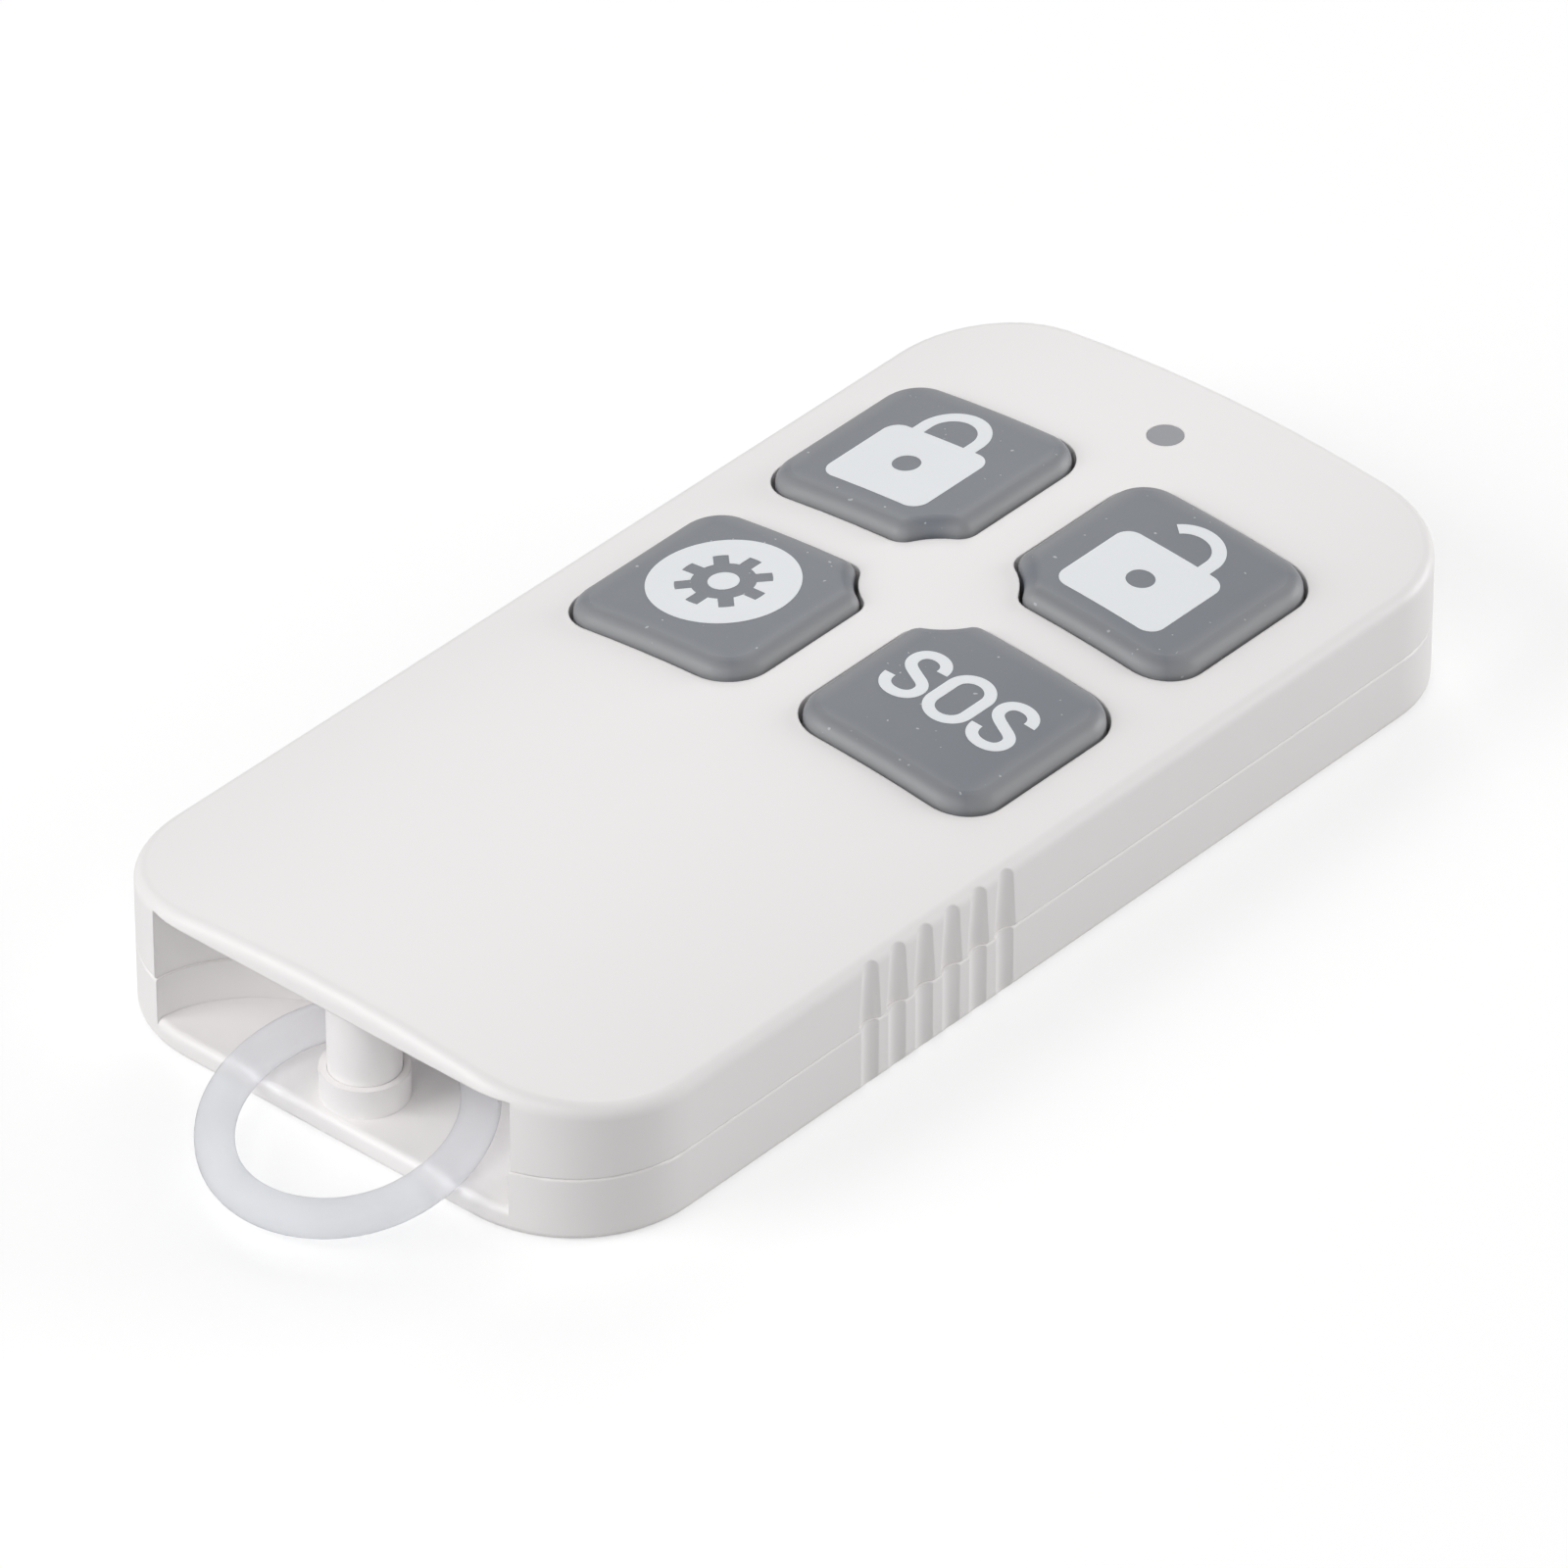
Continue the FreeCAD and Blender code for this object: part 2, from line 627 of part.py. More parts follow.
rebate = new_sketch(top, "top_rebate_sketch", "XY_Plane", "sizes.parting_height")
GROW = "(sizes.tongue_width + sizes.fit_gap)"
add_rounded(
    rebate,
    "-1 * (%s + %s)" % (CAVITY_X, GROW),
    "%s + %s" % (CAVITY_X, GROW),
    "%s - %s" % (CAVITY_NEAR, GROW),
    "%s + %s" % (CAVITY_FAR, GROW),
    "sizes.cavity_near_corner + " + GROW,
    "%s + %s" % (CAVITY_FAR_R, GROW),
)
pocket(top, rebate, "top_rebate", "sizes.tongue_height + sizes.fit_gap", reverse=True)
for word, (side_x, side_y) in QUARTERS.items():
    opening = new_sketch(top, "opening_%s_sketch" % word, "XY_Plane", "sizes.parting_height")
    key_profile(opening, side_x, side_y, "0")
    pocket(top, opening, "opening_" + word, PEAK, reverse=True)
round_edges(top, "opening_hub_corners", "sizes.hub_corner + sizes.key_gap", hub_corners("0"))
lamp_hole = new_sketch(top, "lamp_hole_sketch", "XY_Plane", "sizes.parting_height")
add_circle(lamp_hole, "0", LAMP_Y, "sizes.lamp_radius + sizes.seat_gap")
pocket(top, lamp_hole, "lamp_hole", PEAK, reverse=True)
recess = new_sketch(top, "top_recess_sketch", "XY_Plane", "sizes.parting_height")
add_oval_slot(recess, "0")
pocket(top, recess, "top_recess", SLOT_TOP + " - sizes.parting_height", reverse=True)
pin = new_sketch(top, "post_pin_sketch", "XY_Plane", "sizes.pin_end_height")
add_circle(pin, "0", POST_Y, "sizes.pin_radius")
pad(top, pin, "post_pin", SLOT_TOP + " - sizes.pin_end_height + sizes.root_depth")
pilot = new_sketch(top, "post_pilot_sketch", "XY_Plane", "sizes.pin_end_height")
add_circle(pilot, "0", POST_Y, "sizes.screw_radius + sizes.seat_gap")
pocket(top, pilot, "post_pilot", "sizes.screw_length", reverse=True)
posts = new_sketch(top, "top_posts_sketch", "XY_Plane", BOARD_TOP + " + sizes.seat_gap")
for x_text, y_text in SUPPORTS:
    add_circle(posts, x_text, y_text, "sizes.support_radius")
pad(top, posts, "top_posts", "%s - %s + sizes.root_depth" % (CEILING, BOARD_TOP))
BOSS_LOW = "(%s + sizes.seat_gap)" % BOARD_LOW
bosses = new_sketch(top, "top_bosses_sketch", "XY_Plane", BOSS_LOW)
for x_text, y_text in BOSSES:
    add_circle(bosses, x_text, y_text, "sizes.boss_radius")
pad(top, bosses, "top_bosses", "%s - %s + sizes.root_depth" % (CEILING, BOSS_LOW))
pilots = new_sketch(top, "boss_pilots_sketch", "XY_Plane", "sizes.parting_height")
for x_text, y_text in BOSSES:
    add_circle(pilots, x_text, y_text, "sizes.screw_radius + sizes.seat_gap")
PILOT_DEPTH = CEILING + " - sizes.parting_height - sizes.pilot_roof"
pocket(top, pilots, "boss_pilots", PILOT_DEPTH, reverse=True)

# Lower shell: tray with tongue, loop recess with its collar, cell cradle, board posts and screw seats

base = keep(new_body("bottom_case"))
outline = new_sketch(base, "base_outline", "XY_Plane")
add_rounded(outline, *CASE_EDGES, "sizes.near_corner", "sizes.far_corner")
pad(base, outline, "base_block", "sizes.parting_height")
round_edges(base, "base_rim", "sizes.base_edge_radius", flat_at(0.0))
round_edges(base, "base_parting_round", "sizes.parting_round", flat_at(PARTING))
grip_grooves(base, "base_grips", "sizes.low_rib_depth", "0", "sizes.parting_height", "0")
cavity = new_sketch(base, "base_cavity_sketch", "XY_Plane", "sizes.floor_thickness")
add_rounded(cavity, *CAVITY_EDGES, *CAVITY_CORNERS)
pocket(base, cavity, "base_cavity", "sizes.parting_height", reverse=True)
recess = new_sketch(base, "base_recess_sketch", "XY_Plane", "sizes.slot_floor")
add_oval_slot(recess, "sizes.slot_step")
pocket(base, recess, "base_recess", "sizes.parting_height", reverse=True)
slot_floor = amount("sizes.slot_floor")
front = amount("-1 * " + HALF_L)


def sill_edge(edge):
    """The straight front edge of the recess's floor."""
    along_front = near(edge.BoundBox.YMin, front) and near(edge.BoundBox.YMax, front)
    return flat_at(slot_floor)(edge) and along_front


round_edges(base, "sill_round", "sizes.sill_radius", sill_edge)
tongue = new_sketch(base, "tongue_sketch", "XY_Plane", "sizes.parting_height - sizes.root_depth")
add_rounded(tongue, *CAVITY_EDGES, *CAVITY_CORNERS)
WIDE = "sizes.tongue_width"
add_rounded(
    tongue,
    "-1 * (%s + %s)" % (CAVITY_X, WIDE),
    "%s + %s" % (CAVITY_X, WIDE),
    "%s - %s" % (CAVITY_NEAR, WIDE),
    "%s + %s" % (CAVITY_FAR, WIDE),
    "sizes.cavity_near_corner + " + WIDE,
    "%s + %s" % (CAVITY_FAR_R, WIDE),
)
pad(base, tongue, "tongue", "sizes.tongue_height + sizes.root_depth")
collar = new_sketch(base, "collar_sketch", "XY_Plane", "sizes.slot_floor - sizes.root_depth")
add_circle(collar, "0", POST_Y, "sizes.collar_radius")
pad(base, collar, "collar", "sizes.collar_height + sizes.root_depth")
socket = new_sketch(base, "collar_socket_sketch", "XY_Plane", "sizes.pin_end_height - sizes.seat_gap")
add_circle(socket, "0", POST_Y, "sizes.pin_radius + sizes.seat_gap")
pocket(base, socket, "collar_socket", "sizes.parting_height", reverse=True)
FLOOR_ROOT = "sizes.floor_thickness - sizes.root_depth"
posts = new_sketch(base, "base_posts_sketch", "XY_Plane", FLOOR_ROOT)
for x_text, y_text in SUPPORTS:
    add_circle(posts, x_text, y_text, "sizes.support_radius")
for x_text, y_text in BOSSES:
    add_circle(posts, x_text, y_text, "sizes.boss_radius")
pad(base, posts, "base_posts", "%s - (%s)" % (BOARD_LOW, FLOOR_ROOT))
cradle = new_sketch(base, "cradle_sketch", "XY_Plane", FLOOR_ROOT)
add_circle(cradle, "0", CELL_Y, CRADLE_R)
add_circle(cradle, "0", CELL_Y, CRADLE_R + " + sizes.cradle_wall")
pad(base, cradle, "cradle", "sizes.cradle_height + sizes.root_depth")
gap = new_sketch(base, "cradle_gap_sketch", "XY_Plane", "sizes.floor_thickness")
GAP_HALF = "(sizes.contact_width / 2 + sizes.cradle_gap_side)"
GAP_START = "(%s + sizes.cradle_gap_start)" % CELL_Y
add_rectangle(gap, "-1 * " + GAP_HALF, GAP_HALF, GAP_START, GAP_START + " + sizes.cradle_gap_length")
pocket(base, gap, "cradle_gap", "sizes.parting_height", reverse=True)
SCREWS = BOSSES + [("0", POST_Y)]
heads = new_sketch(base, "head_recess_sketch", "XY_Plane", "sizes.screw_recess")
for x_text, y_text in SCREWS:
    add_circle(heads, x_text, y_text, "sizes.screw_head_radius + 2 * sizes.fit_gap")
pocket(base, heads, "head_recess", "sizes.parting_height")
holes = new_sketch(base, "screw_holes_sketch", "XY_Plane", "0")
for x_text, y_text in SCREWS:
    add_circle(holes, x_text, y_text, "sizes.screw_radius + sizes.fit_gap")
pocket(base, holes, "screw_holes", BOARD_TOP, reverse=True)

# Keys: crowned caps with a flange that holds them under the roof and a stem over each switch

def on_key_crown(edge):
    """Edges round the crowned face of a key."""
    return follows_crown(edge, amount(CROWN_R + " + sizes.key_rise"))


for word, (side_x, side_y) in QUARTERS.items():
    key = keep(new_body("key_" + word))
    outline = new_sketch(key, "key_%s_outline" % word, "XY_Plane", FLANGE_LOW)
    key_profile(outline, side_x, side_y, "sizes.key_gap")
    pad(key, outline, "key_%s_block" % word, "%s - %s" % (ABOVE_CROWN, FLANGE_LOW))
    round_edges(key, "key_%s_hub_corners" % word, "sizes.hub_corner", hub_corners("sizes.key_gap"))
    crown_cut(key, "key_%s_crown" % word, "sizes.key_rise")
    round_edges(key, "key_%s_rim" % word, "sizes.key_edge_radius", on_key_crown)
    flange = new_sketch(key, "key_%s_flange_sketch" % word, "XY_Plane", FLANGE_LOW)
    OUT = "(%s + sizes.flange_overlap)" % KEY_HALF
    add_rounded(
        flange,
        "%s - %s" % (key_x(side_x), OUT),
        "%s + %s" % (key_x(side_x), OUT),
        "%s - %s" % (key_y(side_y), OUT),
        "%s + %s" % (key_y(side_y), OUT),
        "sizes.key_corner",
        "sizes.key_corner",
    )
    pad(key, flange, "key_%s_flange" % word, "sizes.flange_thickness")
    stem = new_sketch(key, "key_%s_stem_sketch" % word, "XY_Plane", PLUNGER_TOP + " + sizes.seat_gap")
    add_circle(stem, key_x(side_x), key_y(side_y), "sizes.stem_radius")
    pad(key, stem, "key_%s_stem" % word, "%s - %s" % (FLANGE_LOW, PLUNGER_TOP))

# Rubber mat under the keys, its bead clamped below the roof

mat = keep(new_body("keypad_mat"))
outline = new_sketch(mat, "mat_outline", "XY_Plane", MAT_LOW)
MAT_EDGES = (
    "-1 * " + MAT_OUT,
    MAT_OUT,
    KEYPAD_Y + " - " + MAT_OUT,
    KEYPAD_Y + " + " + MAT_OUT,
    "sizes.key_corner",
    "sizes.key_corner",
)
add_rounded(outline, *MAT_EDGES)
pad(mat, outline, "mat_sheet", "sizes.mat_thickness")
bead = new_sketch(mat, "mat_bead_sketch", "XY_Plane", MAT_LOW)
add_rounded(bead, *MAT_EDGES)
add_rounded(
    bead,
    "-1 * " + MAT_X,
    MAT_X,
    KEYPAD_Y + " - " + MAT_X,
    KEYPAD_Y + " + " + MAT_X,
    "sizes.key_corner - sizes.mat_bead",
    "sizes.key_corner - sizes.mat_bead",
)
pad(mat, bead, "mat_bead", "%s - sizes.seat_gap - %s" % (CEILING, MAT_LOW))
windows = new_sketch(mat, "mat_windows_sketch", "XY_Plane", MAT_LOW)
for side_x, side_y in QUARTERS.values():
    add_circle(windows, key_x(side_x), key_y(side_y), "sizes.stem_radius + 4 * sizes.fit_gap")
pocket(mat, windows, "mat_windows", "2 * sizes.mat_thickness", reverse=True)

# Lamp window: a clear pipe from the light source up to the crown

window = keep(new_body("lamp_window"))
LENS_LOW = "(%s + sizes.lamp_body_height)" % BOARD_TOP
LENS_TOP = "(%s + sizes.lens_height)" % LENS_LOW
PIPE_LOW = "(%s + sizes.pipe_gap)" % LENS_TOP
WINDOW_FLANGE_LOW = "(%s - sizes.roof_thickness - sizes.fit_gap - sizes.window_flange)" % PEAK
sketch = new_sketch(window, "window_pipe_sketch", "XY_Plane", PIPE_LOW)
add_circle(sketch, "0", LAMP_Y, "sizes.lamp_radius")
pad(window, sketch, "window_pipe", "%s - %s" % (ABOVE_CROWN, PIPE_LOW))
sketch = new_sketch(window, "window_flange_sketch", "XY_Plane", WINDOW_FLANGE_LOW)
add_circle(sketch, "0", LAMP_Y, "sizes.lamp_radius + sizes.window_flange_reach")
pad(window, sketch, "window_flange", "sizes.window_flange")
crown_cut(window, "window_crown", "0")

# Key loop: a closed silicone ring of four tangent arcs, laid over the sill and round the post

loop = keep(new_body("key_loop"))
spine = new_sketch(loop, "loop_spine")
SIDE_R = (
    "((pow(sizes.loop_half_length - sizes.loop_end_radius; 2) + pow(sizes.loop_half_width; 2)"
    " - pow(sizes.loop_end_radius; 2)) / (2 * (sizes.loop_half_width - sizes.loop_end_radius)))"
)
END_Y = "(sizes.loop_half_length - sizes.loop_end_radius)"
SIDE_X = "(%s - sizes.loop_half_width)" % SIDE_R
end_y, side_x = amount(END_Y), amount(SIDE_X)
end_r, side_r = amount("sizes.loop_end_radius"), amount(SIDE_R)
lean = math.atan2(end_y, side_x)
LOOP_ARCS = [
    (Vec(-side_x, 0, 0), side_r, -lean, lean),
    (Vec(0, end_y, 0), end_r, lean, math.pi - lean),
    (Vec(side_x, 0, 0), side_r, math.pi - lean, math.pi + lean),
    (Vec(0, -end_y, 0), end_r, math.pi + lean, 2 * math.pi - lean),
]
for index, (centre, radius, start, finish) in enumerate(LOOP_ARCS):
    ring = Part.Circle(centre, UP, radius)
    spine.addGeometry(Part.ArcOfCircle(ring, start, finish), False)
    bind(spine, "Radius", (index,), "sizes.loop_end_radius" if index % 2 else SIDE_R)
pin_point(spine, 1, CENTRE, "0", END_Y)
pin_point(spine, 3, CENTRE, "0", "-1 * " + END_Y)
for index in range(4):
    spine.addConstraint(Sketcher.Constraint("Tangent", index, END, (index + 1) % 4, START))
section = new_sketch(loop, "loop_section", "XZ_Plane")
add_circle(section, "sizes.loop_half_width", "0", "sizes.loop_wire_radius")
doc.recompute()
tube = loop.newObject("PartDesign::AdditivePipe", "loop_tube")
tube.Profile = section
tube.Spine = (spine, ["Edge1", "Edge2", "Edge3", "Edge4"])
doc.recompute()
LOOP_Y = "%s - sizes.loop_offset_y" % POST_Y
LOOP_Z = "sizes.slot_floor + sizes.loop_lift"
LOOP_PLACE = "create(<<vector>>; sizes.loop_offset_x; %s; %s)" % (LOOP_Y, LOOP_Z)
TILT = "create(<<rotation>>; create(<<vector>>; 1; 0; 0); sizes.loop_tilt)"
TURN = "create(<<rotation>>; create(<<vector>>; 0; 0; 1); sizes.loop_turn)"
loop.setExpression("Placement", "create(<<placement>>; %s; %s * %s)" % (LOOP_PLACE, TILT, TURN))

# Circuit board with notches for the screw bosses

board = keep(new_body("circuit_board"))
outline = new_sketch(board, "board_outline", "XY_Plane", BOARD_LOW)
EDGE = "sizes.board_edge_gap"
add_rounded(
    outline,
    "-1 * (%s - %s)" % (CAVITY_X, EDGE),
    "%s - %s" % (CAVITY_X, EDGE),
    "%s + %s" % (CAVITY_NEAR, EDGE),
    "%s - %s" % (CAVITY_FAR, EDGE),
    "sizes.cavity_near_corner - " + EDGE,
    "%s - %s" % (CAVITY_FAR_R, EDGE),
)
pad(board, outline, "board_sheet", "sizes.board_thickness")
notches = new_sketch(board, "board_notches_sketch", "XY_Plane", BOARD_LOW)
for x_text, y_text in BOSSES:
    add_circle(notches, x_text, y_text, "sizes.boss_radius + 4 * sizes.fit_gap")
pocket(board, notches, "board_notches", "2 * sizes.board_thickness", reverse=True)

# Four switches: moulded bodies, metal covers and one plunger under each key

switch_bodies = []
switch_covers = []
for word, (side_x, side_y) in QUARTERS.items():
    HALF = "sizes.switch_size / 2"
    block = prism(
        "switch_body_" + word,
        "%s - %s" % (key_x(side_x), HALF),
        "%s + %s" % (key_x(side_x), HALF),
        "%s - %s" % (key_y(side_y), HALF),
        "%s + %s" % (key_y(side_y), HALF),
        BOARD_TOP,
        "sizes.switch_height",
    )
    bore = new_sketch(block, "switch_bore_" + word, "XY_Plane", BOARD_TOP + " + sizes.switch_floor")
    add_circle(bore, key_x(side_x), key_y(side_y), "sizes.plunger_flange_radius + sizes.fit_gap")
    pocket(block, bore, "switch_well_" + word, "sizes.switch_height", reverse=True)
    switch_bodies.append(block)
    TRIM = "(sizes.switch_size / 2 - sizes.cover_inset)"
    cover = prism(
        "switch_cover_" + word,
        "%s - %s" % (key_x(side_x), TRIM),
        "%s + %s" % (key_x(side_x), TRIM),
        "%s - %s" % (key_y(side_y), TRIM),
        "%s + %s" % (key_y(side_y), TRIM),
        BOARD_TOP + " + sizes.switch_height",
        "sizes.cover_thickness",
    )
    hole = new_sketch(cover, "cover_ring_" + word, "XY_Plane", BOARD_TOP + " + sizes.switch_height")
    add_circle(hole, key_x(side_x), key_y(side_y), "sizes.plunger_radius + sizes.fit_gap")
    pocket(cover, hole, "cover_hole_" + word, "sizes.switch_height", reverse=True)
    switch_covers.append(cover)
    plunger = keep(new_body("plunger_" + word))
    FOOT = "(%s + sizes.switch_height - sizes.seat_gap - sizes.plunger_flange)" % BOARD_TOP
    foot = new_sketch(plunger, "plunger_foot_%s" % word, "XY_Plane", FOOT)
    add_circle(foot, key_x(side_x), key_y(side_y), "sizes.plunger_flange_radius")
    pad(plunger, foot, "plunger_flange_" + word, "sizes.plunger_flange")
    shank = new_sketch(plunger, "plunger_shank_%s" % word, "XY_Plane", FOOT)
    add_circle(shank, key_x(side_x), key_y(side_y), "sizes.plunger_radius")
    pad(plunger, shank, "plunger_pin_" + word, "%s - %s" % (PLUNGER_TOP, FOOT))
keep(group("switch_bodies", switch_bodies))
keep(group("switch_covers", switch_covers))

# Lamp, chips and small parts on the board

def board_block(name, x_text, y_text, length, width, height):
    """A part that stands on the board, centred on a place."""
    return prism(
        name,
        "%s - %s / 2" % (x_text, length),
        "%s + %s / 2" % (x_text, length),
        "%s - %s / 2" % (y_text, width),
        "%s + %s / 2" % (y_text, width),
        BOARD_TOP,
        height,
    )


CONTROLLER_Y = "(%s - sizes.controller_back)" % CELL_Y
RADIO_Y = "(%s - sizes.radio_back)" % CELL_Y
CRYSTAL_Y = "(%s - sizes.crystal_back)" % CELL_Y
LAMP_BODY = ("sizes.lamp_body_length", "sizes.lamp_body_width", "sizes.lamp_body_height")
CONTROLLER = ("sizes.controller_size", "sizes.controller_size", "sizes.controller_height")
RADIO = ("sizes.radio_size", "sizes.radio_size", "sizes.radio_height")
CRYSTAL = ("sizes.crystal_length", "sizes.crystal_width", "sizes.crystal_height")
keep(board_block("lamp_base", "0", LAMP_Y, *LAMP_BODY))
lens = keep(new_body("lamp_lens"))
sketch = new_sketch(lens, "lens_sketch", "XY_Plane", LENS_LOW)
add_circle(sketch, "0", LAMP_Y, "sizes.lens_radius")
pad(lens, sketch, "lens_disc", "sizes.lens_height")
round_edges(lens, "lens_dome", "sizes.lens_round", flat_at(amount(LENS_TOP)))
keep(board_block("controller_chip", "sizes.controller_x", CONTROLLER_Y, *CONTROLLER))
keep(board_block("radio_chip", "sizes.radio_x", RADIO_Y, *RADIO))
keep(board_block("crystal_can", "sizes.crystal_x", CRYSTAL_Y, *CRYSTAL))
BESIDE_CONTROLLER = "(sizes.controller_size / 2 + sizes.small_part_gap)"
BESIDE_RADIO = "(sizes.radio_size / 2 + sizes.small_part_gap)"
BESIDE_CRYSTAL = "(sizes.crystal_length / 2 + sizes.small_part_gap)"
BESIDE_LAMP = "(sizes.lamp_body_length / 2 + sizes.small_part_gap)"
HALF_PITCH = "sizes.small_part_pitch / 2"
CAPACITORS = [
    ("sizes.controller_x - " + BESIDE_CONTROLLER, CONTROLLER_Y + " - " + HALF_PITCH, True),
    ("sizes.controller_x - " + BESIDE_CONTROLLER, CONTROLLER_Y + " + " + HALF_PITCH, True),
    ("sizes.controller_x + " + BESIDE_CONTROLLER, CONTROLLER_Y + " - " + HALF_PITCH, True),
    ("sizes.controller_x + " + BESIDE_CONTROLLER, CONTROLLER_Y + " + " + HALF_PITCH, True),
    ("sizes.radio_x + " + BESIDE_RADIO, RADIO_Y, True),
    ("sizes.radio_x", RADIO_Y + " + " + BESIDE_RADIO, False),
]
keep(small_parts("capacitors", CAPACITORS, "sizes.capacitor_height"))
RESISTORS = [
    ("sizes.controller_x - " + HALF_PITCH, CONTROLLER_Y + " + " + BESIDE_CONTROLLER, False),
    ("sizes.controller_x + " + HALF_PITCH, CONTROLLER_Y + " + " + BESIDE_CONTROLLER, False),
    ("sizes.radio_x - " + BESIDE_RADIO, RADIO_Y, True),
    ("sizes.crystal_x + " + BESIDE_CRYSTAL, CRYSTAL_Y + " - " + HALF_PITCH, True),
    ("sizes.crystal_x + " + BESIDE_CRYSTAL, CRYSTAL_Y + " + " + HALF_PITCH, True),
    ("-1 * " + BESIDE_LAMP, LAMP_Y, False),
    (BESIDE_LAMP, LAMP_Y, False),
]
keep(small_parts("resistors", RESISTORS, "sizes.resistor_height"))

# Wire antenna: a bar on two legs above the near end of the board

aerial = keep(new_body("wire_antenna"))
AERIAL_HALF = "(sizes.aerial_length / 2)"
AERIAL_Y = "(%s + sizes.aerial_near)" % CAVITY_NEAR
LEG_X = "(%s - sizes.aerial_wire_radius)" % AERIAL_HALF
sketch = new_sketch(aerial, "aerial_bar_sketch", "YZ_Plane", "-1 * " + AERIAL_HALF)
add_circle(sketch, AERIAL_Y, BOARD_TOP + " + sizes.aerial_height", "sizes.aerial_wire_radius")
pad(aerial, sketch, "aerial_bar", "sizes.aerial_length")
sketch = new_sketch(aerial, "aerial_legs_sketch", "XY_Plane", BOARD_TOP)
add_circle(sketch, "-1 * " + LEG_X, AERIAL_Y, "sizes.aerial_wire_radius")
add_circle(sketch, LEG_X, AERIAL_Y, "sizes.aerial_wire_radius")
pad(aerial, sketch, "aerial_legs", "sizes.aerial_height")

# Coin cell: can, sealing ring and cap

can = keep(new_body("cell_can"))
CAN_HEIGHT = "(sizes.cell_height - sizes.cell_cap_rise)"
sketch = new_sketch(can, "can_sketch", "XY_Plane", CELL_LOW)
add_circle(sketch, "0", CELL_Y, "sizes.cell_radius")
pad(can, sketch, "can_block", CAN_HEIGHT)
sketch = new_sketch(can, "can_bore_sketch", "XY_Plane", CELL_LOW + " + sizes.cell_wall")
add_circle(sketch, "0", CELL_Y, "sizes.cell_radius - sizes.cell_wall")
pocket(can, sketch, "can_bore", "sizes.cell_height", reverse=True)
round_edges(can, "can_heel", "sizes.cell_heel_radius", flat_at(amount(CELL_LOW)))
seal = keep(new_body("cell_seal"))
SEAL_LOW = "(%s + sizes.cell_wall + sizes.seat_gap)" % CELL_LOW
SEAL_OUT = "(sizes.cell_radius - sizes.cell_wall - sizes.seat_gap)"
SEAL_IN = "(%s - sizes.cell_seal_width)" % SEAL_OUT
sketch = new_sketch(seal, "seal_sketch", "XY_Plane", SEAL_LOW)
add_circle(sketch, "0", CELL_Y, SEAL_OUT)
add_circle(sketch, "0", CELL_Y, SEAL_IN)
pad(seal, sketch, "seal_ring", CAN_HEIGHT + " - sizes.cell_wall")
cap = keep(new_body("cell_cap"))
sketch = new_sketch(cap, "cap_sketch", "XY_Plane", SEAL_LOW)
add_circle(sketch, "0", CELL_Y, SEAL_IN + " - sizes.seat_gap")
pad(cap, sketch, "cap_block", "sizes.cell_height - sizes.cell_wall - sizes.seat_gap")
round_edges(cap, "cap_rim", "sizes.cell_cap_radius", flat_at(amount(CELL_LOW + " + sizes.cell_height")))

# Contacts: a leaf down on the cell's cap and a clip against the can's side

PAD_TOP = "(%s - sizes.seat_gap)" % BOARD_LOW
PAD_LOW = "(%s - sizes.contact_thickness)" % PAD_TOP
CELL_TOP = "(%s + sizes.cell_height + sizes.seat_gap)" % CELL_LOW
THICK = "sizes.contact_thickness"
leaf = keep(new_body("negative_leaf"))
sketch = new_sketch(leaf, "leaf_profile", "YZ_Plane")
LEAF = [
    (CELL_Y + " + sizes.leaf_root_far", PAD_LOW),
    (CELL_Y + " + sizes.leaf_root_near", PAD_LOW),
    (CELL_Y + " - sizes.leaf_heel", CELL_TOP),
    (CELL_Y + " - sizes.leaf_tip", CELL_TOP + " + sizes.leaf_tip_lift"),
]
upper = [(along, "%s + %s" % (height, THICK)) for along, height in LEAF]
add_polygon(sketch, upper + LEAF[::-1])
pad(leaf, sketch, "leaf_strip", "sizes.contact_width", symmetric=True)
clip = keep(new_body("positive_clip"))
sketch = new_sketch(clip, "clip_profile", "YZ_Plane")
TOUCH = "(%s + sizes.cell_radius + sizes.seat_gap)" % CELL_Y
CLIP_FOOT = "sizes.floor_thickness + sizes.clip_foot_lift"
add_polygon(
    sketch,
    [
        (TOUCH, CLIP_FOOT),
        ("%s + %s" % (TOUCH, THICK), CLIP_FOOT),
        ("%s + sizes.clip_lean + %s" % (TOUCH, THICK), PAD_LOW),
        ("%s + sizes.clip_tail" % TOUCH, PAD_LOW),
        ("%s + sizes.clip_tail" % TOUCH, PAD_TOP),
        ("%s + sizes.clip_lean" % TOUCH, PAD_TOP),
    ],
)
pad(clip, sketch, "clip_strip", "sizes.contact_width", symmetric=True)

# Case screws, driven from the back

screws = []
HEAD_LOW = "(sizes.screw_recess - sizes.screw_head_height - sizes.seat_gap)"
for index, (x_text, y_text) in enumerate(SCREWS):
    screw = new_body("screw_%d" % (index + 1))
    sketch = new_sketch(screw, "screw_head_%d_sketch" % index, "XY_Plane", HEAD_LOW)
    add_circle(sketch, x_text, y_text, "sizes.screw_head_radius")
    pad(screw, sketch, "screw_head_%d" % index, "sizes.screw_head_height")
    sketch = new_sketch(screw, "screw_shank_%d_sketch" % index, "XY_Plane", HEAD_LOW)
    add_circle(sketch, x_text, y_text, "sizes.screw_radius")
    pad(screw, sketch, "screw_shank_%d" % index, "sizes.screw_head_height + sizes.screw_length")
    screws.append(screw)
keep(group("case_screws", screws))

# Check every object and write each piece

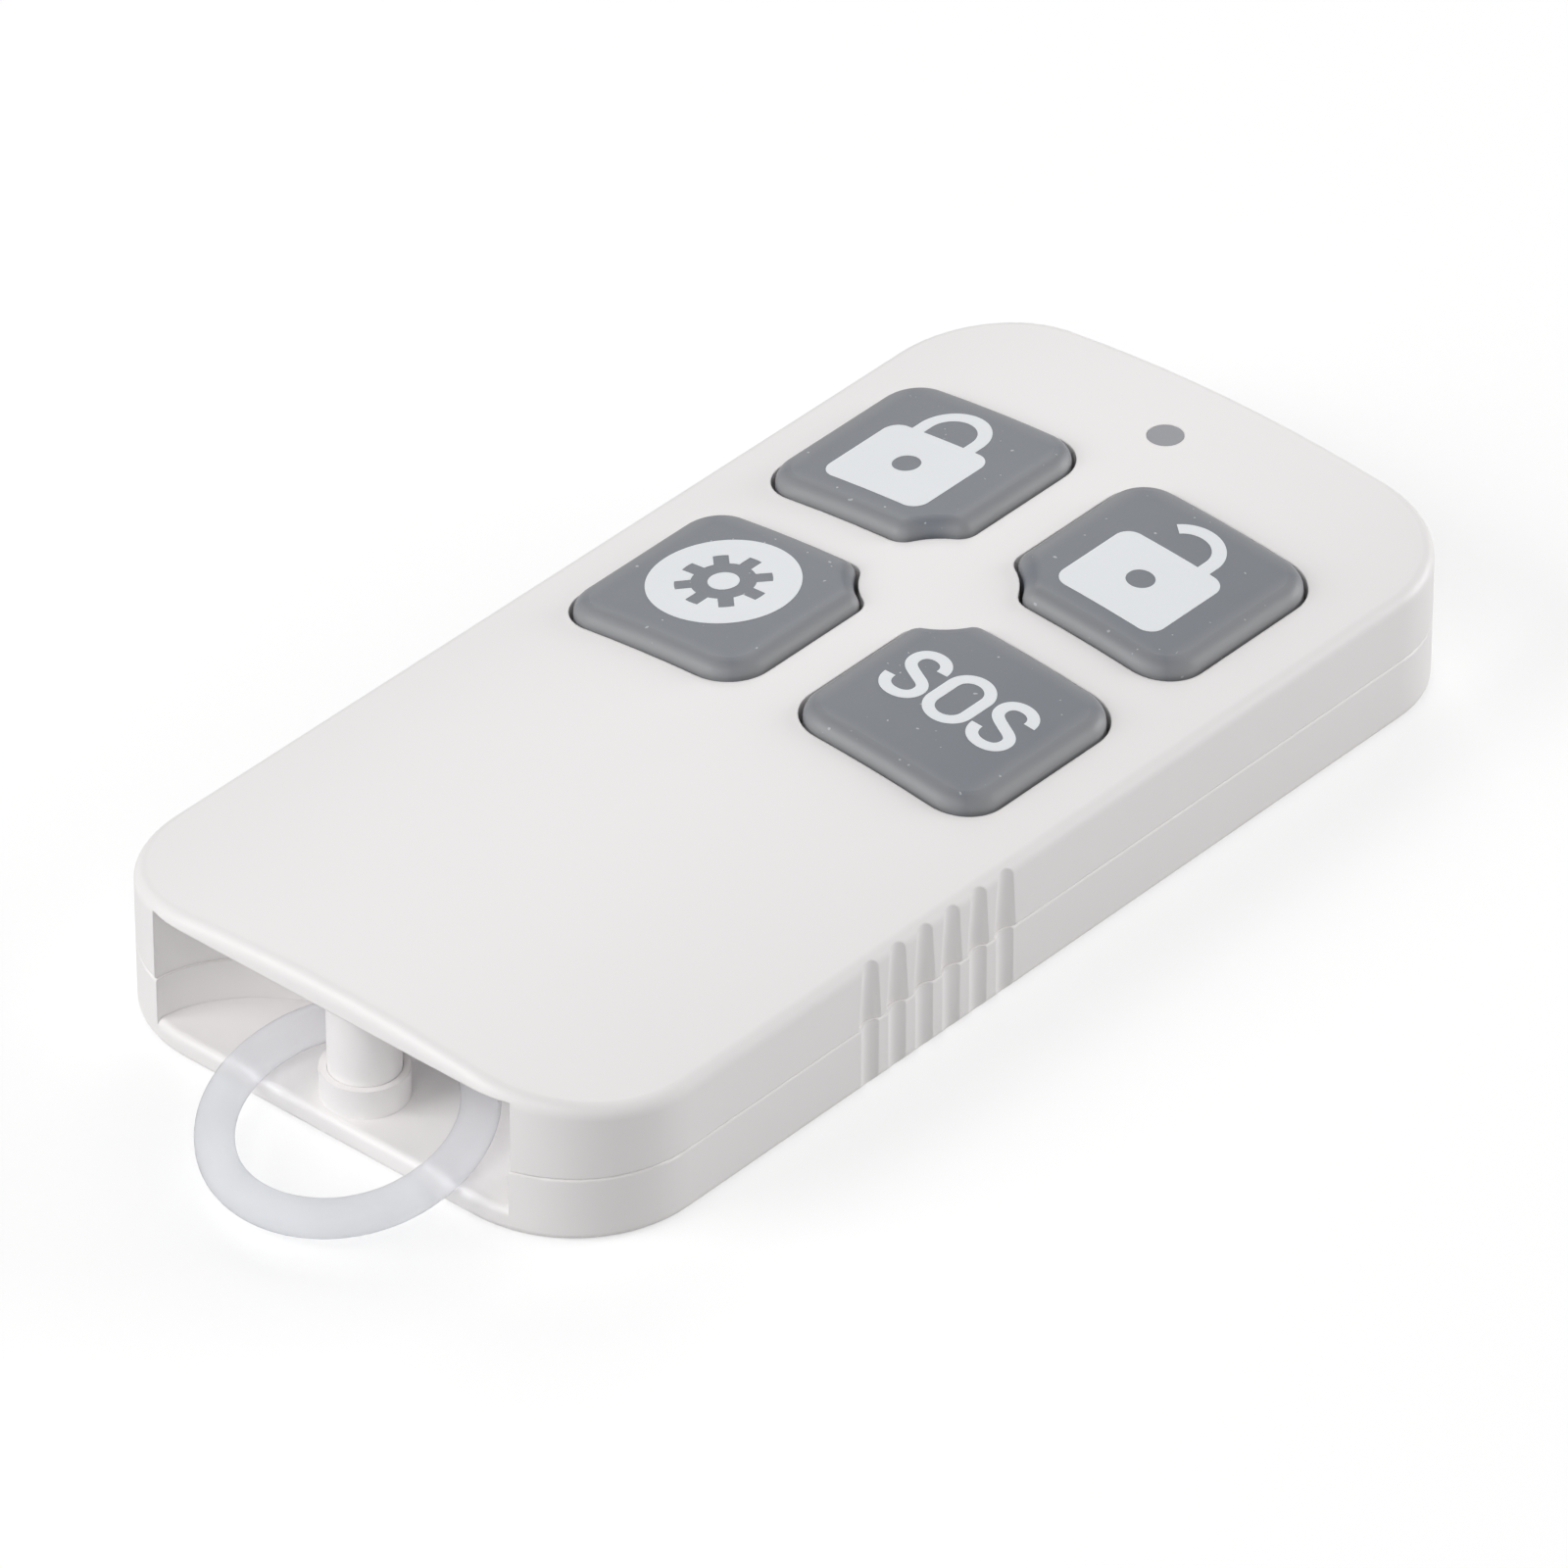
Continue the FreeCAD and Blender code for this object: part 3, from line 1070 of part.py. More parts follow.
doc.recompute()
for thing in doc.Objects:
    faults = [state for state in thing.State if state in ("Invalid", "Error")]
    if faults:
        raise RuntimeError("%s is %s" % (thing.Name, faults))
os.makedirs("parts", exist_ok=True)
for piece in pieces:
    shape = piece.Shape
    if shape.isNull() or not shape.isValid() or not shape.Solids:
        raise RuntimeError(piece.Label + " has no valid solid")
    shape.exportStep(os.path.join("parts", piece.Label + ".step"))
    print("%-18s solids %d volume %9.2f" % (piece.Label, len(shape.Solids), shape.Volume))
print("pieces", len(pieces))
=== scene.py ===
import json
import math

import bpy
import numpy as np
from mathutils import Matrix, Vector


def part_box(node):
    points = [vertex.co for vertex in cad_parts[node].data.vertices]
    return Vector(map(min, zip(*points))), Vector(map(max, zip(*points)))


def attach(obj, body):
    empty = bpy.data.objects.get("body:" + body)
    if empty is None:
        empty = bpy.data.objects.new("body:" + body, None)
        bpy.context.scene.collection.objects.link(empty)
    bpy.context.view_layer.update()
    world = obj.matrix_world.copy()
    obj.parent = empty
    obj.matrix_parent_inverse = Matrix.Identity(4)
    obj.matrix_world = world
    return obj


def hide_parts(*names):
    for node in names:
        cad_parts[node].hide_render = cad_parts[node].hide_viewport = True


# Looks of a four button alarm remote: printed signs, screws, finishes, floor, light and camera.
# Places are in metres in the part's own frame. The plans of the signs and the sizes of the screws
# are in millimetres, and MM turns them into metres.

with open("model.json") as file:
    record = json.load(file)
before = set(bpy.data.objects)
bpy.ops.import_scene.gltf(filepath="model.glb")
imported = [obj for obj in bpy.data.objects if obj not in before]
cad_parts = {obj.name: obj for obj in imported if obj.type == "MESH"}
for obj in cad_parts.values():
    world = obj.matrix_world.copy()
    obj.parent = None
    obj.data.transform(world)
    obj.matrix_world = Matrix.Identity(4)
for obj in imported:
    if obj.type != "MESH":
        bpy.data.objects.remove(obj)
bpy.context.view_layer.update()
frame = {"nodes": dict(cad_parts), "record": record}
nodes = frame["nodes"]

MM = 0.001

# Sizes that the signs share with the case and the keys

CROWN_HEIGHT = 1.8 * MM
KEY_RISE = 0.8 * MM
PRINT_THICKNESS = 0.03 * MM
PRINT_ROOT = 0.02 * MM

case_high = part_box("top_case")[1]
PEAK = case_high.z
CROWN_RADIUS = (case_high.x ** 2 + CROWN_HEIGHT ** 2) / (2 * CROWN_HEIGHT)


def key_centre(name):
    """Middle of a key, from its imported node."""
    low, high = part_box(name)
    middle = (low + high) / 2
    return np.array([middle.x, middle.y])


def key_surface(x):
    """Height of the keys' crowned tops: a circle about the case's length, raised by the key's rise."""
    return PEAK + KEY_RISE - CROWN_RADIUS + np.sqrt(CROWN_RADIUS ** 2 - x ** 2)


# Meshes from grids

CREASE_DEGREES = 35


def quads(rows, columns, ring):
    """Corner numbers of a grid's faces; a ring joins its last column to its first."""
    row = np.arange(rows - 1)[:, None] * columns
    column = np.arange(columns if ring else columns - 1)[None, :]
    after = (column + 1) % columns
    corners = (row + column, row + after, row + columns + after, row + columns + column)
    return np.stack(np.broadcast_arrays(*corners), axis=-1).reshape(-1, 4)


def rim(rows, columns, ring):
    """Pairs of neighbouring corners along the open edges of a grid, in the direction of its faces."""
    first = np.arange(columns)
    last = (rows - 1) * columns + first
    if ring:
        return np.concatenate([
            np.stack([first, np.roll(first, -1)], axis=1),
            np.stack([np.roll(last, -1), last], axis=1),
        ])
    left = np.arange(rows) * columns
    right = left + columns - 1
    return np.concatenate([
        np.stack([first[:-1], first[1:]], axis=1),
        np.stack([right[:-1], right[1:]], axis=1),
        np.stack([last[1:], last[:-1]], axis=1),
        np.stack([left[1:], left[:-1]], axis=1),
    ])


def film(plan, ring):
    """A thin printed film: a plan grid of x and y laid on the key's top, closed by a lower copy and walls.

    The upper height is key_surface(x) + thickness, the lower height is key_surface(x) - root.
    """
    rows, columns = plan.shape[:2]
    flat = plan.reshape(-1, 2)
    ground = key_surface(flat[:, 0])
    upper = np.column_stack([flat, ground + PRINT_THICKNESS])
    lower = np.column_stack([flat, ground - PRINT_ROOT])
    count = len(flat)
    top = quads(rows, columns, ring)
    edge = rim(rows, columns, ring)
    walls = np.column_stack([edge[:, 1], edge[:, 0], edge[:, 0] + count, edge[:, 1] + count])
    return np.concatenate([upper, lower]), np.concatenate([top, top[:, ::-1] + count, walls])


def closed_tube(rings, start, end):
    """Rings one above the other, counterclockwise from above, closed at both ends by a fan about a point."""
    rows, columns = rings.shape[:2]
    count = rows * columns
    points = np.concatenate([rings.reshape(-1, 3), [start, end]])
    column = np.arange(columns)
    after = (column + 1) % columns
    last = count - columns
    low_fan = np.column_stack([np.full(columns, count), after, column])
    high_fan = np.column_stack([np.full(columns, count + 1), last + column, last + after])
    return points, quads(rows, columns, True).tolist() + low_fan.tolist() + high_fan.tolist()


def joined(parts):
    """Several sets of points and faces as one: each set's corner numbers go up by the points before it."""
    points, faces, start = [], [], 0
    for part_points, part_faces in parts:
        points.append(part_points)
        faces.append(part_faces + start)
        start += len(part_points)
    return np.concatenate(points), np.concatenate(faces)


def piece(name, points, faces, material, body):
    """A mesh object in place, with its finish, on its body."""
    mesh = bpy.data.meshes.new(name)
    mesh.from_pydata(points.tolist(), [], faces)
    mesh.update()
    mesh.shade_smooth()
    mesh.set_sharp_from_angle(angle=math.radians(CREASE_DEGREES))
    mesh.materials.append(material)
    shown = bpy.data.objects.new(name, mesh)
    bpy.context.scene.collection.objects.link(shown)
    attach(shown, body)
    return shown


# Plans of the printed signs, in millimetres about the sign's own middle

LEG_POINTS = 6
TOOTH_POINTS = 7
FLANK_POINTS = 5
GAP_POINTS = 9


def arc(radius, start_degrees, end_degrees, centre=(0.0, 0.0), steps=40):
    """Points of a circle between two directions: centre + radius * (cos(turn), sin(turn))."""
    turn = np.radians(np.linspace(start_degrees, end_degrees, steps))
    return np.column_stack([centre[0] + radius * np.cos(turn), centre[1] + radius * np.sin(turn)])


def rounded_outline(width, height, corner, per_side=8, per_corner=10):
    """A rectangle with round corners, counterclockwise: straight sides between quarter circles."""
    x, y = width / 2 - corner, height / 2 - corner
    corners = [
        arc(corner, 90 * k, 90 * (k + 1), centre, per_corner)
        for k, centre in enumerate([(x, y), (-x, y), (-x, -y), (x, -y)])
    ]
    share = np.linspace(0, 1, per_side + 2)[1:-1, None]
    sides = [corners[k][-1] * (1 - share) + corners[(k + 1) % 4][0] * share for k in range(4)]
    return np.concatenate([part for k in range(4) for part in (corners[k], sides[k])])


def between(inner, outer, rows=4):
    """A ring grid from the outer outline in to the inner one: outer * (1 - share) + inner * share."""
    share = np.linspace(0, 1, rows)[:, None, None]
    return outer[None] * (1 - share) + inner[None] * share


def padlock_body(width, height, corner, hole_radius, hole_at):
    """A rounded plate with a round keyhole.

    Each outer point is joined to hole_at + hole_radius * (direction from hole_at to the outer point).
    """
    outer = rounded_outline(width, height, corner)
    away = outer - hole_at
    inner = hole_at + hole_radius * away / np.linalg.norm(away, axis=1, keepdims=True)
    return between(inner, outer)


def stroke(path, width, closed=False, rows=4):
    """A band of even width along a path: path + share * width * normal, for shares from -1/2 to 1/2."""
    if closed:
        along = np.roll(path, -1, axis=0) - np.roll(path, 1, axis=0)
    else:
        along = np.gradient(path, axis=0)
    along /= np.linalg.norm(along, axis=1, keepdims=True)
    across = np.column_stack([-along[:, 1], along[:, 0]])
    share = np.linspace(-0.5, 0.5, rows)[:, None, None]
    return path[None] + share * width * across[None]


def shackle_path(radius, foot, arc_height, end_degrees=180):
    """A padlock's bow: a straight leg up and an arc, then the other leg down from a full half circle."""
    leg = np.linspace(foot, arc_height, LEG_POINTS)[:-1]
    right = np.column_stack([np.full(len(leg), radius), leg])
    parts = [right, arc(radius, 0, end_degrees, (0.0, arc_height))]
    if end_degrees == 180:
        parts.append(right[::-1] * (-1, 1))
    return np.concatenate(parts)


def gear_outline(teeth, tip, root, tooth_width):
    """A cog's outline by direction: tip radius over each tooth, root radius between, straight flanks.

    A flank is straight where radius * sin(angle from the tooth's middle) stays at half the tooth's width.
    """
    half = tooth_width / 2
    at_tip, at_root = math.asin(half / tip), math.asin(half / root)
    pitch = 2 * math.pi / teeth
    over_tip = np.linspace(-at_tip, at_tip, TOOTH_POINTS)
    falling = np.linspace(at_tip, at_root, FLANK_POINTS)[1:]
    gap = np.linspace(at_root, pitch - at_root, GAP_POINTS)[1:]
    rising = np.linspace(pitch - at_root, pitch - at_tip, FLANK_POINTS)[1:-1]
    turn = np.concatenate([over_tip, falling, gap, rising])
    radius = np.concatenate([
        np.full(len(over_tip), tip),
        half / np.sin(falling),
        np.full(len(gap), root),
        half / np.sin(pitch - rising),
    ])
    turn = (turn[None] + pitch * np.arange(teeth)[:, None]).ravel() + math.pi / 2
    radius = np.tile(radius, teeth)
    return np.column_stack([radius * np.cos(turn), radius * np.sin(turn)]), turn


def disc_plan(radius, steps=17):
    """A square grid bent into a disc: x = u sqrt(1 - v v / 2), y = v sqrt(1 - u u / 2)."""
    u, v = np.meshgrid(np.linspace(-1, 1, steps), np.linspace(-1, 1, steps))
    return radius * np.stack([u * np.sqrt(1 - v * v / 2), v * np.sqrt(1 - u * u / 2)], axis=-1)


def bezier_chain(knots, steps=14):
    """Points of joined cubic curves; each row of knots holds a start, two handles and an end.

    A point is the sum of the four knots times (1-t)^3, 3 (1-t)^2 t, 3 (1-t) t^2 and t^3.
    """
    t = np.linspace(0, 1, steps)[:-1, None]
    weights = ((1 - t) ** 3, 3 * (1 - t) ** 2 * t, 3 * (1 - t) * t ** 2, t ** 3)
    parts = [sum(weight * np.array(point) for weight, point in zip(weights, row)) for row in knots]
    return np.concatenate(parts + [np.array([knots[-1][3]])])


def tall_ring(radius, straight):
    """Path of a letter O: two half circles joined by sides that reach up and down by the straight height."""
    return np.concatenate([
        arc(radius, 0, 180, (0.0, straight)),
        arc(radius, 180, 360, (0.0, -straight)),
    ])


# Node trees

NOISE_LOW = 0.3
NOISE_HIGH = 0.7
SOFT_EDGE_SAMPLES = 4


def fill(tree, node, inputs):
    """Gives each input of a node its value, or a link where the value is the output of another node."""
    for name, value in inputs.items():
        if isinstance(value, bpy.types.NodeSocket):
            tree.links.new(value, node.inputs[name])
        else:
            node.inputs[name].default_value = value


def add_node(tree, kind, inputs, **settings):
    """Outputs of a new node with its settings and inputs."""
    node = tree.nodes.new("ShaderNode" + kind)
    for name, value in settings.items():
        setattr(node, name, value)
    fill(tree, node, inputs)
    return node.outputs


def new_finish(name):
    """An empty finish: its material, its tree, its shader and the place on the piece."""
    material = bpy.data.materials.new(name)
    material.use_nodes = True
    tree = material.node_tree
    tree.nodes.clear()
    shader = tree.nodes.new("ShaderNodeBsdfPrincipled")
    add_node(tree, "OutputMaterial", {"Surface": shader.outputs["BSDF"]})
    return material, tree, shader, add_node(tree, "TexCoord", {})["Object"]


def grain(tree, place, size, detail=2.0, stretch=(1.0, 1.0, 1.0)):
    """Noise whose lumps are about one size across, drawn closer along an axis by its stretch."""
    stretched = add_node(tree, "Mapping", {"Vector": place, "Scale": stretch})["Vector"]
    return add_node(tree, "TexNoise", {"Vector": stretched, "Scale": 1 / size, "Detail": detail})["Fac"]


def ramp(tree, value, start, end, low=0.0, high=1.0, interpolation="LINEAR"):
    """A value that goes from low to high while another goes from start to end."""
    inputs = {"Value": value, "From Min": start, "From Max": end, "To Min": low, "To Max": high}
    return add_node(tree, "MapRange", inputs, interpolation_type=interpolation)["Result"]


def spread(tree, noise, low, high):
    """A value between two numbers, by the noise."""
    return ramp(tree, noise, NOISE_LOW, NOISE_HIGH, low, high)


def tint(tree, share, one, two):
    """A colour between two, by a share; the first may be the output of another node."""
    first = one if isinstance(one, bpy.types.NodeSocket) else (*one, 1.0)
    inputs = {"Factor": share, "A": first, "B": (*two, 1.0)}
    return add_node(tree, "Mix", inputs, data_type="RGBA")["Result"]


def relief(tree, height, depth, soft_edge=0.0):
    """Normals of a surface texture of a given depth, over edges shaded as if rounded by the soft edge."""
    inputs = {"Height": height, "Distance": depth, "Strength": 1.0}
    if soft_edge:
        rounded = add_node(tree, "Bevel", {"Radius": soft_edge}, samples=SOFT_EDGE_SAMPLES)
        inputs["Normal"] = rounded["Normal"]
    return add_node(tree, "Bump", inputs)["Normal"]


def distance_from(tree, value, middle):
    """How far a value lies from a middle, to either side."""
    offset = add_node(tree, "Math", {0: value, 1: middle}, operation="SUBTRACT")["Value"]
    return add_node(tree, "Math", {0: offset}, operation="ABSOLUTE")["Value"]


def larger(tree, one, two):
    """The larger of two values."""
    return add_node(tree, "Math", {0: one, 1: two}, operation="MAXIMUM")["Value"]


def shade(colour, factor):
    """A colour made lighter or darker."""
    return tuple(min(1.0, channel * factor) for channel in colour)


# Finishes

def moulded(name, colour, roughness, texture, depth, vary=0.02, flow_size=9 * MM, soft_edge=0.0):
    """Moulded plastic: fine spark texture, and a slow change of colour where the melt flowed."""
    material, tree, shader, place = new_finish(name)
    flow = grain(tree, place, flow_size)
    fine = grain(tree, place, texture, detail=3.0)
    fill(tree, shader, {
        "Base Color": tint(tree, flow, shade(colour, 1 - vary), shade(colour, 1 + vary)),
        "Roughness": spread(tree, fine, roughness - 0.04, roughness + 0.04),
        "IOR": 1.5,
        "Normal": relief(tree, fine, depth, soft_edge),
    })
    return material


def cloudy(name, cloud_size, darker, paler, smoothest, roughest, transmission, ior):
    """Clear or milky resin: slow clouds change its colour and its roughness, and light passes through."""
    material, tree, shader, place = new_finish(name)
    cloud = grain(tree, place, cloud_size)
    fill(tree, shader, {
        "Base Color": tint(tree, cloud, darker, paler),
        "Roughness": spread(tree, cloud, smoothest, roughest),
        "Transmission Weight": transmission,
        "IOR": ior,
    })
    return material


def plated(name, colour, roughness, stretch=(1.0, 12.0, 12.0)):
    """Rolled or plated metal: fine lines along one way."""
    material, tree, shader, place = new_finish(name)
    lines = grain(tree, place, 0.5 * MM, detail=4.0, stretch=stretch)
    fill(tree, shader, {
        "Base Color": tint(tree, lines, shade(colour, 0.9), shade(colour, 1.06)),
        "Roughness": spread(tree, lines, roughness - 0.08, roughness + 0.08),
        "Metallic": 1.0,
        "Normal": relief(tree, lines, 0.0008 * MM),
    })
    return material


def case_white():
    """Case halves: warm white with a fine matt texture and softly rounded edges."""
    return moulded(
        "case_white", (0.985, 0.962, 0.957), roughness=0.42,
        texture=0.16 * MM, depth=0.0012 * MM, vary=0.008, soft_edge=0.12 * MM,
    )


KEY_DARK = (0.196, 0.211, 0.238)
KEY_PALE = (0.218, 0.232, 0.257)
# Painted highlight: each key's rim is mixed towards this paler grey, standing in for light on its rounded
# edges
KEY_PAINTED_EDGE_LIGHT = (0.34, 0.343, 0.352)
PAINTED_EDGE_LIGHT_START = 5.0 * MM
PAINTED_EDGE_LIGHT_END = 7.0 * MM
PAINTED_EDGE_LIGHT_SHARE = 0.9
KEY_SPECK = (0.5, 0.51, 0.53)
KEY_SPECK_SIZE = 0.3 * MM
KEY_SPECK_LOW = 0.83
KEY_SPECK_HIGH = 0.86


def from_key_middle(tree, place):
    """How far a point lies from the middle of its key, across or along, whichever is more.

    The keys lie in mirrored pairs, so the distance from the keypad's own middle serves all four.
    """
    parts = add_node(tree, "SeparateXYZ", {"Vector": place})
    low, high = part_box("key_unlock")
    keypad_y = (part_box("key_settings")[0].y + high.y) / 2
    from_length = distance_from(tree, parts["X"], 0.0)
    from_width = distance_from(tree, parts["Y"], keypad_y)
    across = distance_from(tree, from_length, (low.x + high.x) / 2)
    along = distance_from(tree, from_width, (low.y + high.y) / 2 - keypad_y)
    return larger(tree, across, along)


def key_grey():
    """Keys: cool grey silicone with slow clouds, a painted highlight that makes the thin edges paler, and a
    few pale specks.
    """
    material, tree, shader, place = new_finish("key_grey")
    cloud = grain(tree, place, 4 * MM)
    fine = grain(tree, place, 0.12 * MM, detail=3.0)
    from_middle = from_key_middle(tree, place)
    # Painted highlight: the share of paler grey rises towards each key's rim
    edge = ramp(tree, from_middle, PAINTED_EDGE_LIGHT_START, PAINTED_EDGE_LIGHT_END, 0.0, PAINTED_EDGE_LIGHT_SHARE, "SMOOTHSTEP")
    speck = ramp(tree, grain(tree, place, KEY_SPECK_SIZE, detail=0.0), KEY_SPECK_LOW, KEY_SPECK_HIGH)
    body = tint(tree, cloud, KEY_DARK, KEY_PALE)
    fill(tree, shader, {
        "Base Color": tint(tree, speck, tint(tree, edge, body, KEY_PAINTED_EDGE_LIGHT), KEY_SPECK),
        "Roughness": spread(tree, fine, 0.42, 0.5),
        "IOR": 1.45,
        "Normal": relief(tree, fine, 0.0015 * MM),
    })
    return material


def sign_white():
    """Printed signs: cool white ink."""
    return moulded(
        "sign_white", (0.92, 0.945, 0.97), roughness=0.5,
        texture=0.08 * MM, depth=0.0006 * MM, vary=0.015, flow_size=3 * MM,
    )


def mat_grey():
    """Rubber mat: dull grey silicone."""
    return moulded(
        "mat_grey", (0.27, 0.27, 0.28), roughness=0.75,
        texture=0.2 * MM, depth=0.003 * MM, vary=0.05,
    )


def loop_silicone():
    """Key loop: smooth milky silicone that lets light through, faintly blue, a little streaky."""
    return cloudy(
        "loop_silicone", 2.2 * MM, (0.935, 0.95, 0.985), (0.96, 0.97, 0.99),
        smoothest=0.34, roughest=0.42, transmission=0.85, ior=1.1,
    )


def lamp_smoke():
    """Lamp window: smoky light pipe."""
    return cloudy(
        "lamp_smoke", 0.9 * MM, (0.28, 0.287, 0.318), (0.32, 0.327, 0.36),
        smoothest=0.30, roughest=0.38, transmission=0.15, ior=1.5,
    )


def clear_resin():
    """Lens of the lamp: clear cast resin with faint clouds."""
    return cloudy(
        "clear_resin", 0.6 * MM, (0.90, 0.91, 0.86), (0.96, 0.96, 0.93),
        smoothest=0.08, roughest=0.16, transmission=0.85, ior=1.53,
    )


TRACK_GRID = 9 * MM


def solder_mask():
    """Circuit board: green mask with the faint raised grid of the tracks under it."""
    material, tree, shader, place = new_finish("solder_mask")
    tracks = add_node(tree, "TexBrick", {
        "Vector": place,
        "Scale": 1 / TRACK_GRID,
        "Color1": (0.03, 0.17, 0.07, 1.0),
        "Color2": (0.035, 0.20, 0.08, 1.0),
        "Mortar": (0.07, 0.30, 0.13, 1.0),
        "Mortar Size": 0.02,
    })
    fill(tree, shader, {
        "Base Color": tracks["Color"],
        "Roughness": spread(tree, grain(tree, place, 3 * MM), 0.25, 0.4),
        "Normal": relief(tree, tracks["Fac"], 0.02 * MM),
    })
    return material


def switch_black():
    """Switch bodies: black plastic."""
    return moulded(
        "switch_black", (0.03, 0.03, 0.032), roughness=0.5,
        texture=0.1 * MM, depth=0.002 * MM, vary=0.1,
    )


def chip_epoxy():
    """Chips: black epoxy with a matt texture."""
    return moulded(
        "chip_epoxy", (0.022, 0.022, 0.024), roughness=0.62,
        texture=0.06 * MM, depth=0.004 * MM, vary=0.15,
    )


def lamp_white():
    """Base of the lamp: off-white plastic."""
    return moulded(
        "lamp_white", (0.80, 0.79, 0.74), roughness=0.5,
        texture=0.1 * MM, depth=0.001 * MM,
    )


def ceramic_tan():
    """Capacitors: tan ceramic, slightly mottled."""
    return moulded(
        "ceramic_tan", (0.40, 0.29, 0.18), roughness=0.5,
        texture=0.1 * MM, depth=0.002 * MM, vary=0.1, flow_size=0.5 * MM,
    )


def seal_black():
    """Seal of the coin cell: black plastic."""
    return moulded(
        "seal_black", (0.06, 0.06, 0.06), roughness=0.5,
        texture=0.1 * MM, depth=0.001 * MM,
    )


FINISHES = {
    "case_plastic": case_white(),
    "key_plastic": key_grey(),
    "mat_rubber": mat_grey(),
    "loop_rubber": loop_silicone(),
    "lamp_clear": lamp_smoke(),
    "board": solder_mask(),
    "switch_black": switch_black(),
    "switch_metal": plated("switch_steel", (0.62, 0.62, 0.61), roughness=0.34),
    "chip_black": chip_epoxy(),
    "lamp_body": lamp_white(),
    "lamp_dome": clear_resin(),
    "crystal_metal": plated("crystal_steel", (0.66, 0.65, 0.62), roughness=0.3),
    "ceramic_tan": ceramic_tan(),
    "aerial_wire": plated("aerial_brass", (0.75, 0.52, 0.25), roughness=0.3),
    "cell_steel": plated("cell_steel", (0.66, 0.66, 0.65), roughness=0.28, stretch=(1.0, 9.0, 1.0)),
    "seal_plastic": seal_black(),
    "contact_metal": plated("contact_bronze", (0.70, 0.58, 0.34), roughness=0.32),
    "screw_steel": plated("screw_zinc", (0.58, 0.58, 0.60), roughness=0.32, stretch=(4.0, 4.0, 1.0)),
}
SIGN_INK = sign_white()

for entry in frame["record"]["subparts"]:
    cad_node = nodes[entry["node"]]
    cad_node.data.materials.clear()
    cad_node.data.materials.append(FINISHES[entry["material_slot"]])


# Printed signs

def sign(name, key, offset, parts):
    """Films of one sign on its key: each part is a plan and whether it is a ring.

    The offset moves the sign from the key's middle, in millimetres.
    """
    middle = key_centre(key) / MM + np.array(offset)
    films = [film((plan + middle) * MM, ring) for plan, ring in parts]
    points, faces = joined(films)
    return piece(name, points, faces.tolist(), SIGN_INK, key)


PADLOCK = {"width": 7.4, "height": 6.6, "corner": 1.0}
KEYHOLE_RADIUS = 0.85
KEYHOLE_AT = np.array([-0.05, 0.15])
SHACKLE = {"radius": 1.93, "foot": PADLOCK["height"] / 2, "arc_height": 4.0}
SHACKLE_STROKE = 0.85
SHACKLE_OPEN_DEGREES = 142

padlock = padlock_body(**PADLOCK, hole_radius=KEYHOLE_RADIUS, hole_at=KEYHOLE_AT)
closed_bow = stroke(shackle_path(**SHACKLE), SHACKLE_STROKE)
open_bow = stroke(shackle_path(**SHACKLE, end_degrees=SHACKLE_OPEN_DEGREES), SHACKLE_STROKE)
sign("sign_lock", "key_lock", offset=(-0.2, -1.35), parts=[(padlock, True), (closed_bow, False)])
sign("sign_unlock", "key_unlock", offset=(0.05, -1.35), parts=[(padlock, True), (open_bow, False)])

GEAR = {"teeth": 8, "tip": 2.8, "root": 1.9, "tooth_width": 0.9}
GEAR_DISC_RADIUS = 4.45
GEAR_HUB_RADIUS = 0.91

cog, cog_turn = gear_outline(**GEAR)
disc_edge = GEAR_DISC_RADIUS * np.column_stack([np.cos(cog_turn), np.sin(cog_turn)])
gear_disc = between(cog, disc_edge)
gear_hub = disc_plan(GEAR_HUB_RADIUS)
sign("sign_settings", "key_settings", offset=(-0.3, 0.35), parts=[(gear_disc, True), (gear_hub, False)])

# Letter S as joined curves: upper bowl, sloping spine, lower bowl
LETTER_S = [
    ((1.02, 1.02), (1.02, 1.66), (0.56, 2.03), (0.00, 2.03)),
    ((0.00, 2.03), (-0.58, 2.03), (-1.00, 1.64), (-1.00, 1.10)),
    ((-1.00, 1.10), (-1.00, 0.42), (-0.46, 0.24), (0.00, 0.00)),
    ((0.00, 0.00), (0.52, -0.27), (1.10, -0.40), (1.10, -1.05)),
    ((1.10, -1.05), (1.10, -1.66), (0.62, -2.03), (0.00, -2.03)),
    ((0.00, -2.03), (-0.64, -2.03), (-1.12, -1.62), (-1.12, -0.90)),
]
LETTER_O = {"radius": 1.2, "straight": 0.83}
LETTER_STROKE = 0.72
LETTER_STEP = np.array([3.2, 0.0])

letter_s = stroke(bezier_chain(LETTER_S), LETTER_STROKE)
letter_o = stroke(tall_ring(**LETTER_O), LETTER_STROKE, closed=True)
sign("sign_sos", "key_sos", offset=(0.0, 0.4), parts=[
    (letter_s - LETTER_STEP, False),
    (letter_o, True),
    (letter_s + LETTER_STEP, False),
])


# Case screws: a domed head with a cross recess, a threaded shank and a blunt point

SCREW_HEAD_RADIUS = 1.8
SCREW_HEAD_HEIGHT = 0.8
SCREW_DOME = 0.22
SCREW_RIM = 0.12
CROSS_REACH = 1.0
CROSS_HALF_WIDTH = 0.24
CROSS_DEPTH = 0.6
CROSS_SLOPE = 0.45
CROSS_SOFT = 0.1
THREAD_RADIUS = 1.0
THREAD_CORE = 0.74
THREAD_PITCH = 0.7
THREAD_TAPER = 1.1
NECK_RADIUS = THREAD_CORE + 0.1
HEEL_HEIGHT = 0.02
POINT_RADIUS = 0.2
POINT_TIP = 0.02
FACE_START = 0.03
FACE_RINGS = 34
RIM_RINGS = 6
SHANK_START = 0.05
SHANK_RINGS = 96
SCREW_COLUMNS = 72


def smooth(value):
    """Zero to one with level ends: 3 v v - 2 v v v."""
    value = np.clip(value, 0, 1)
    return value * value * (3 - 2 * value)


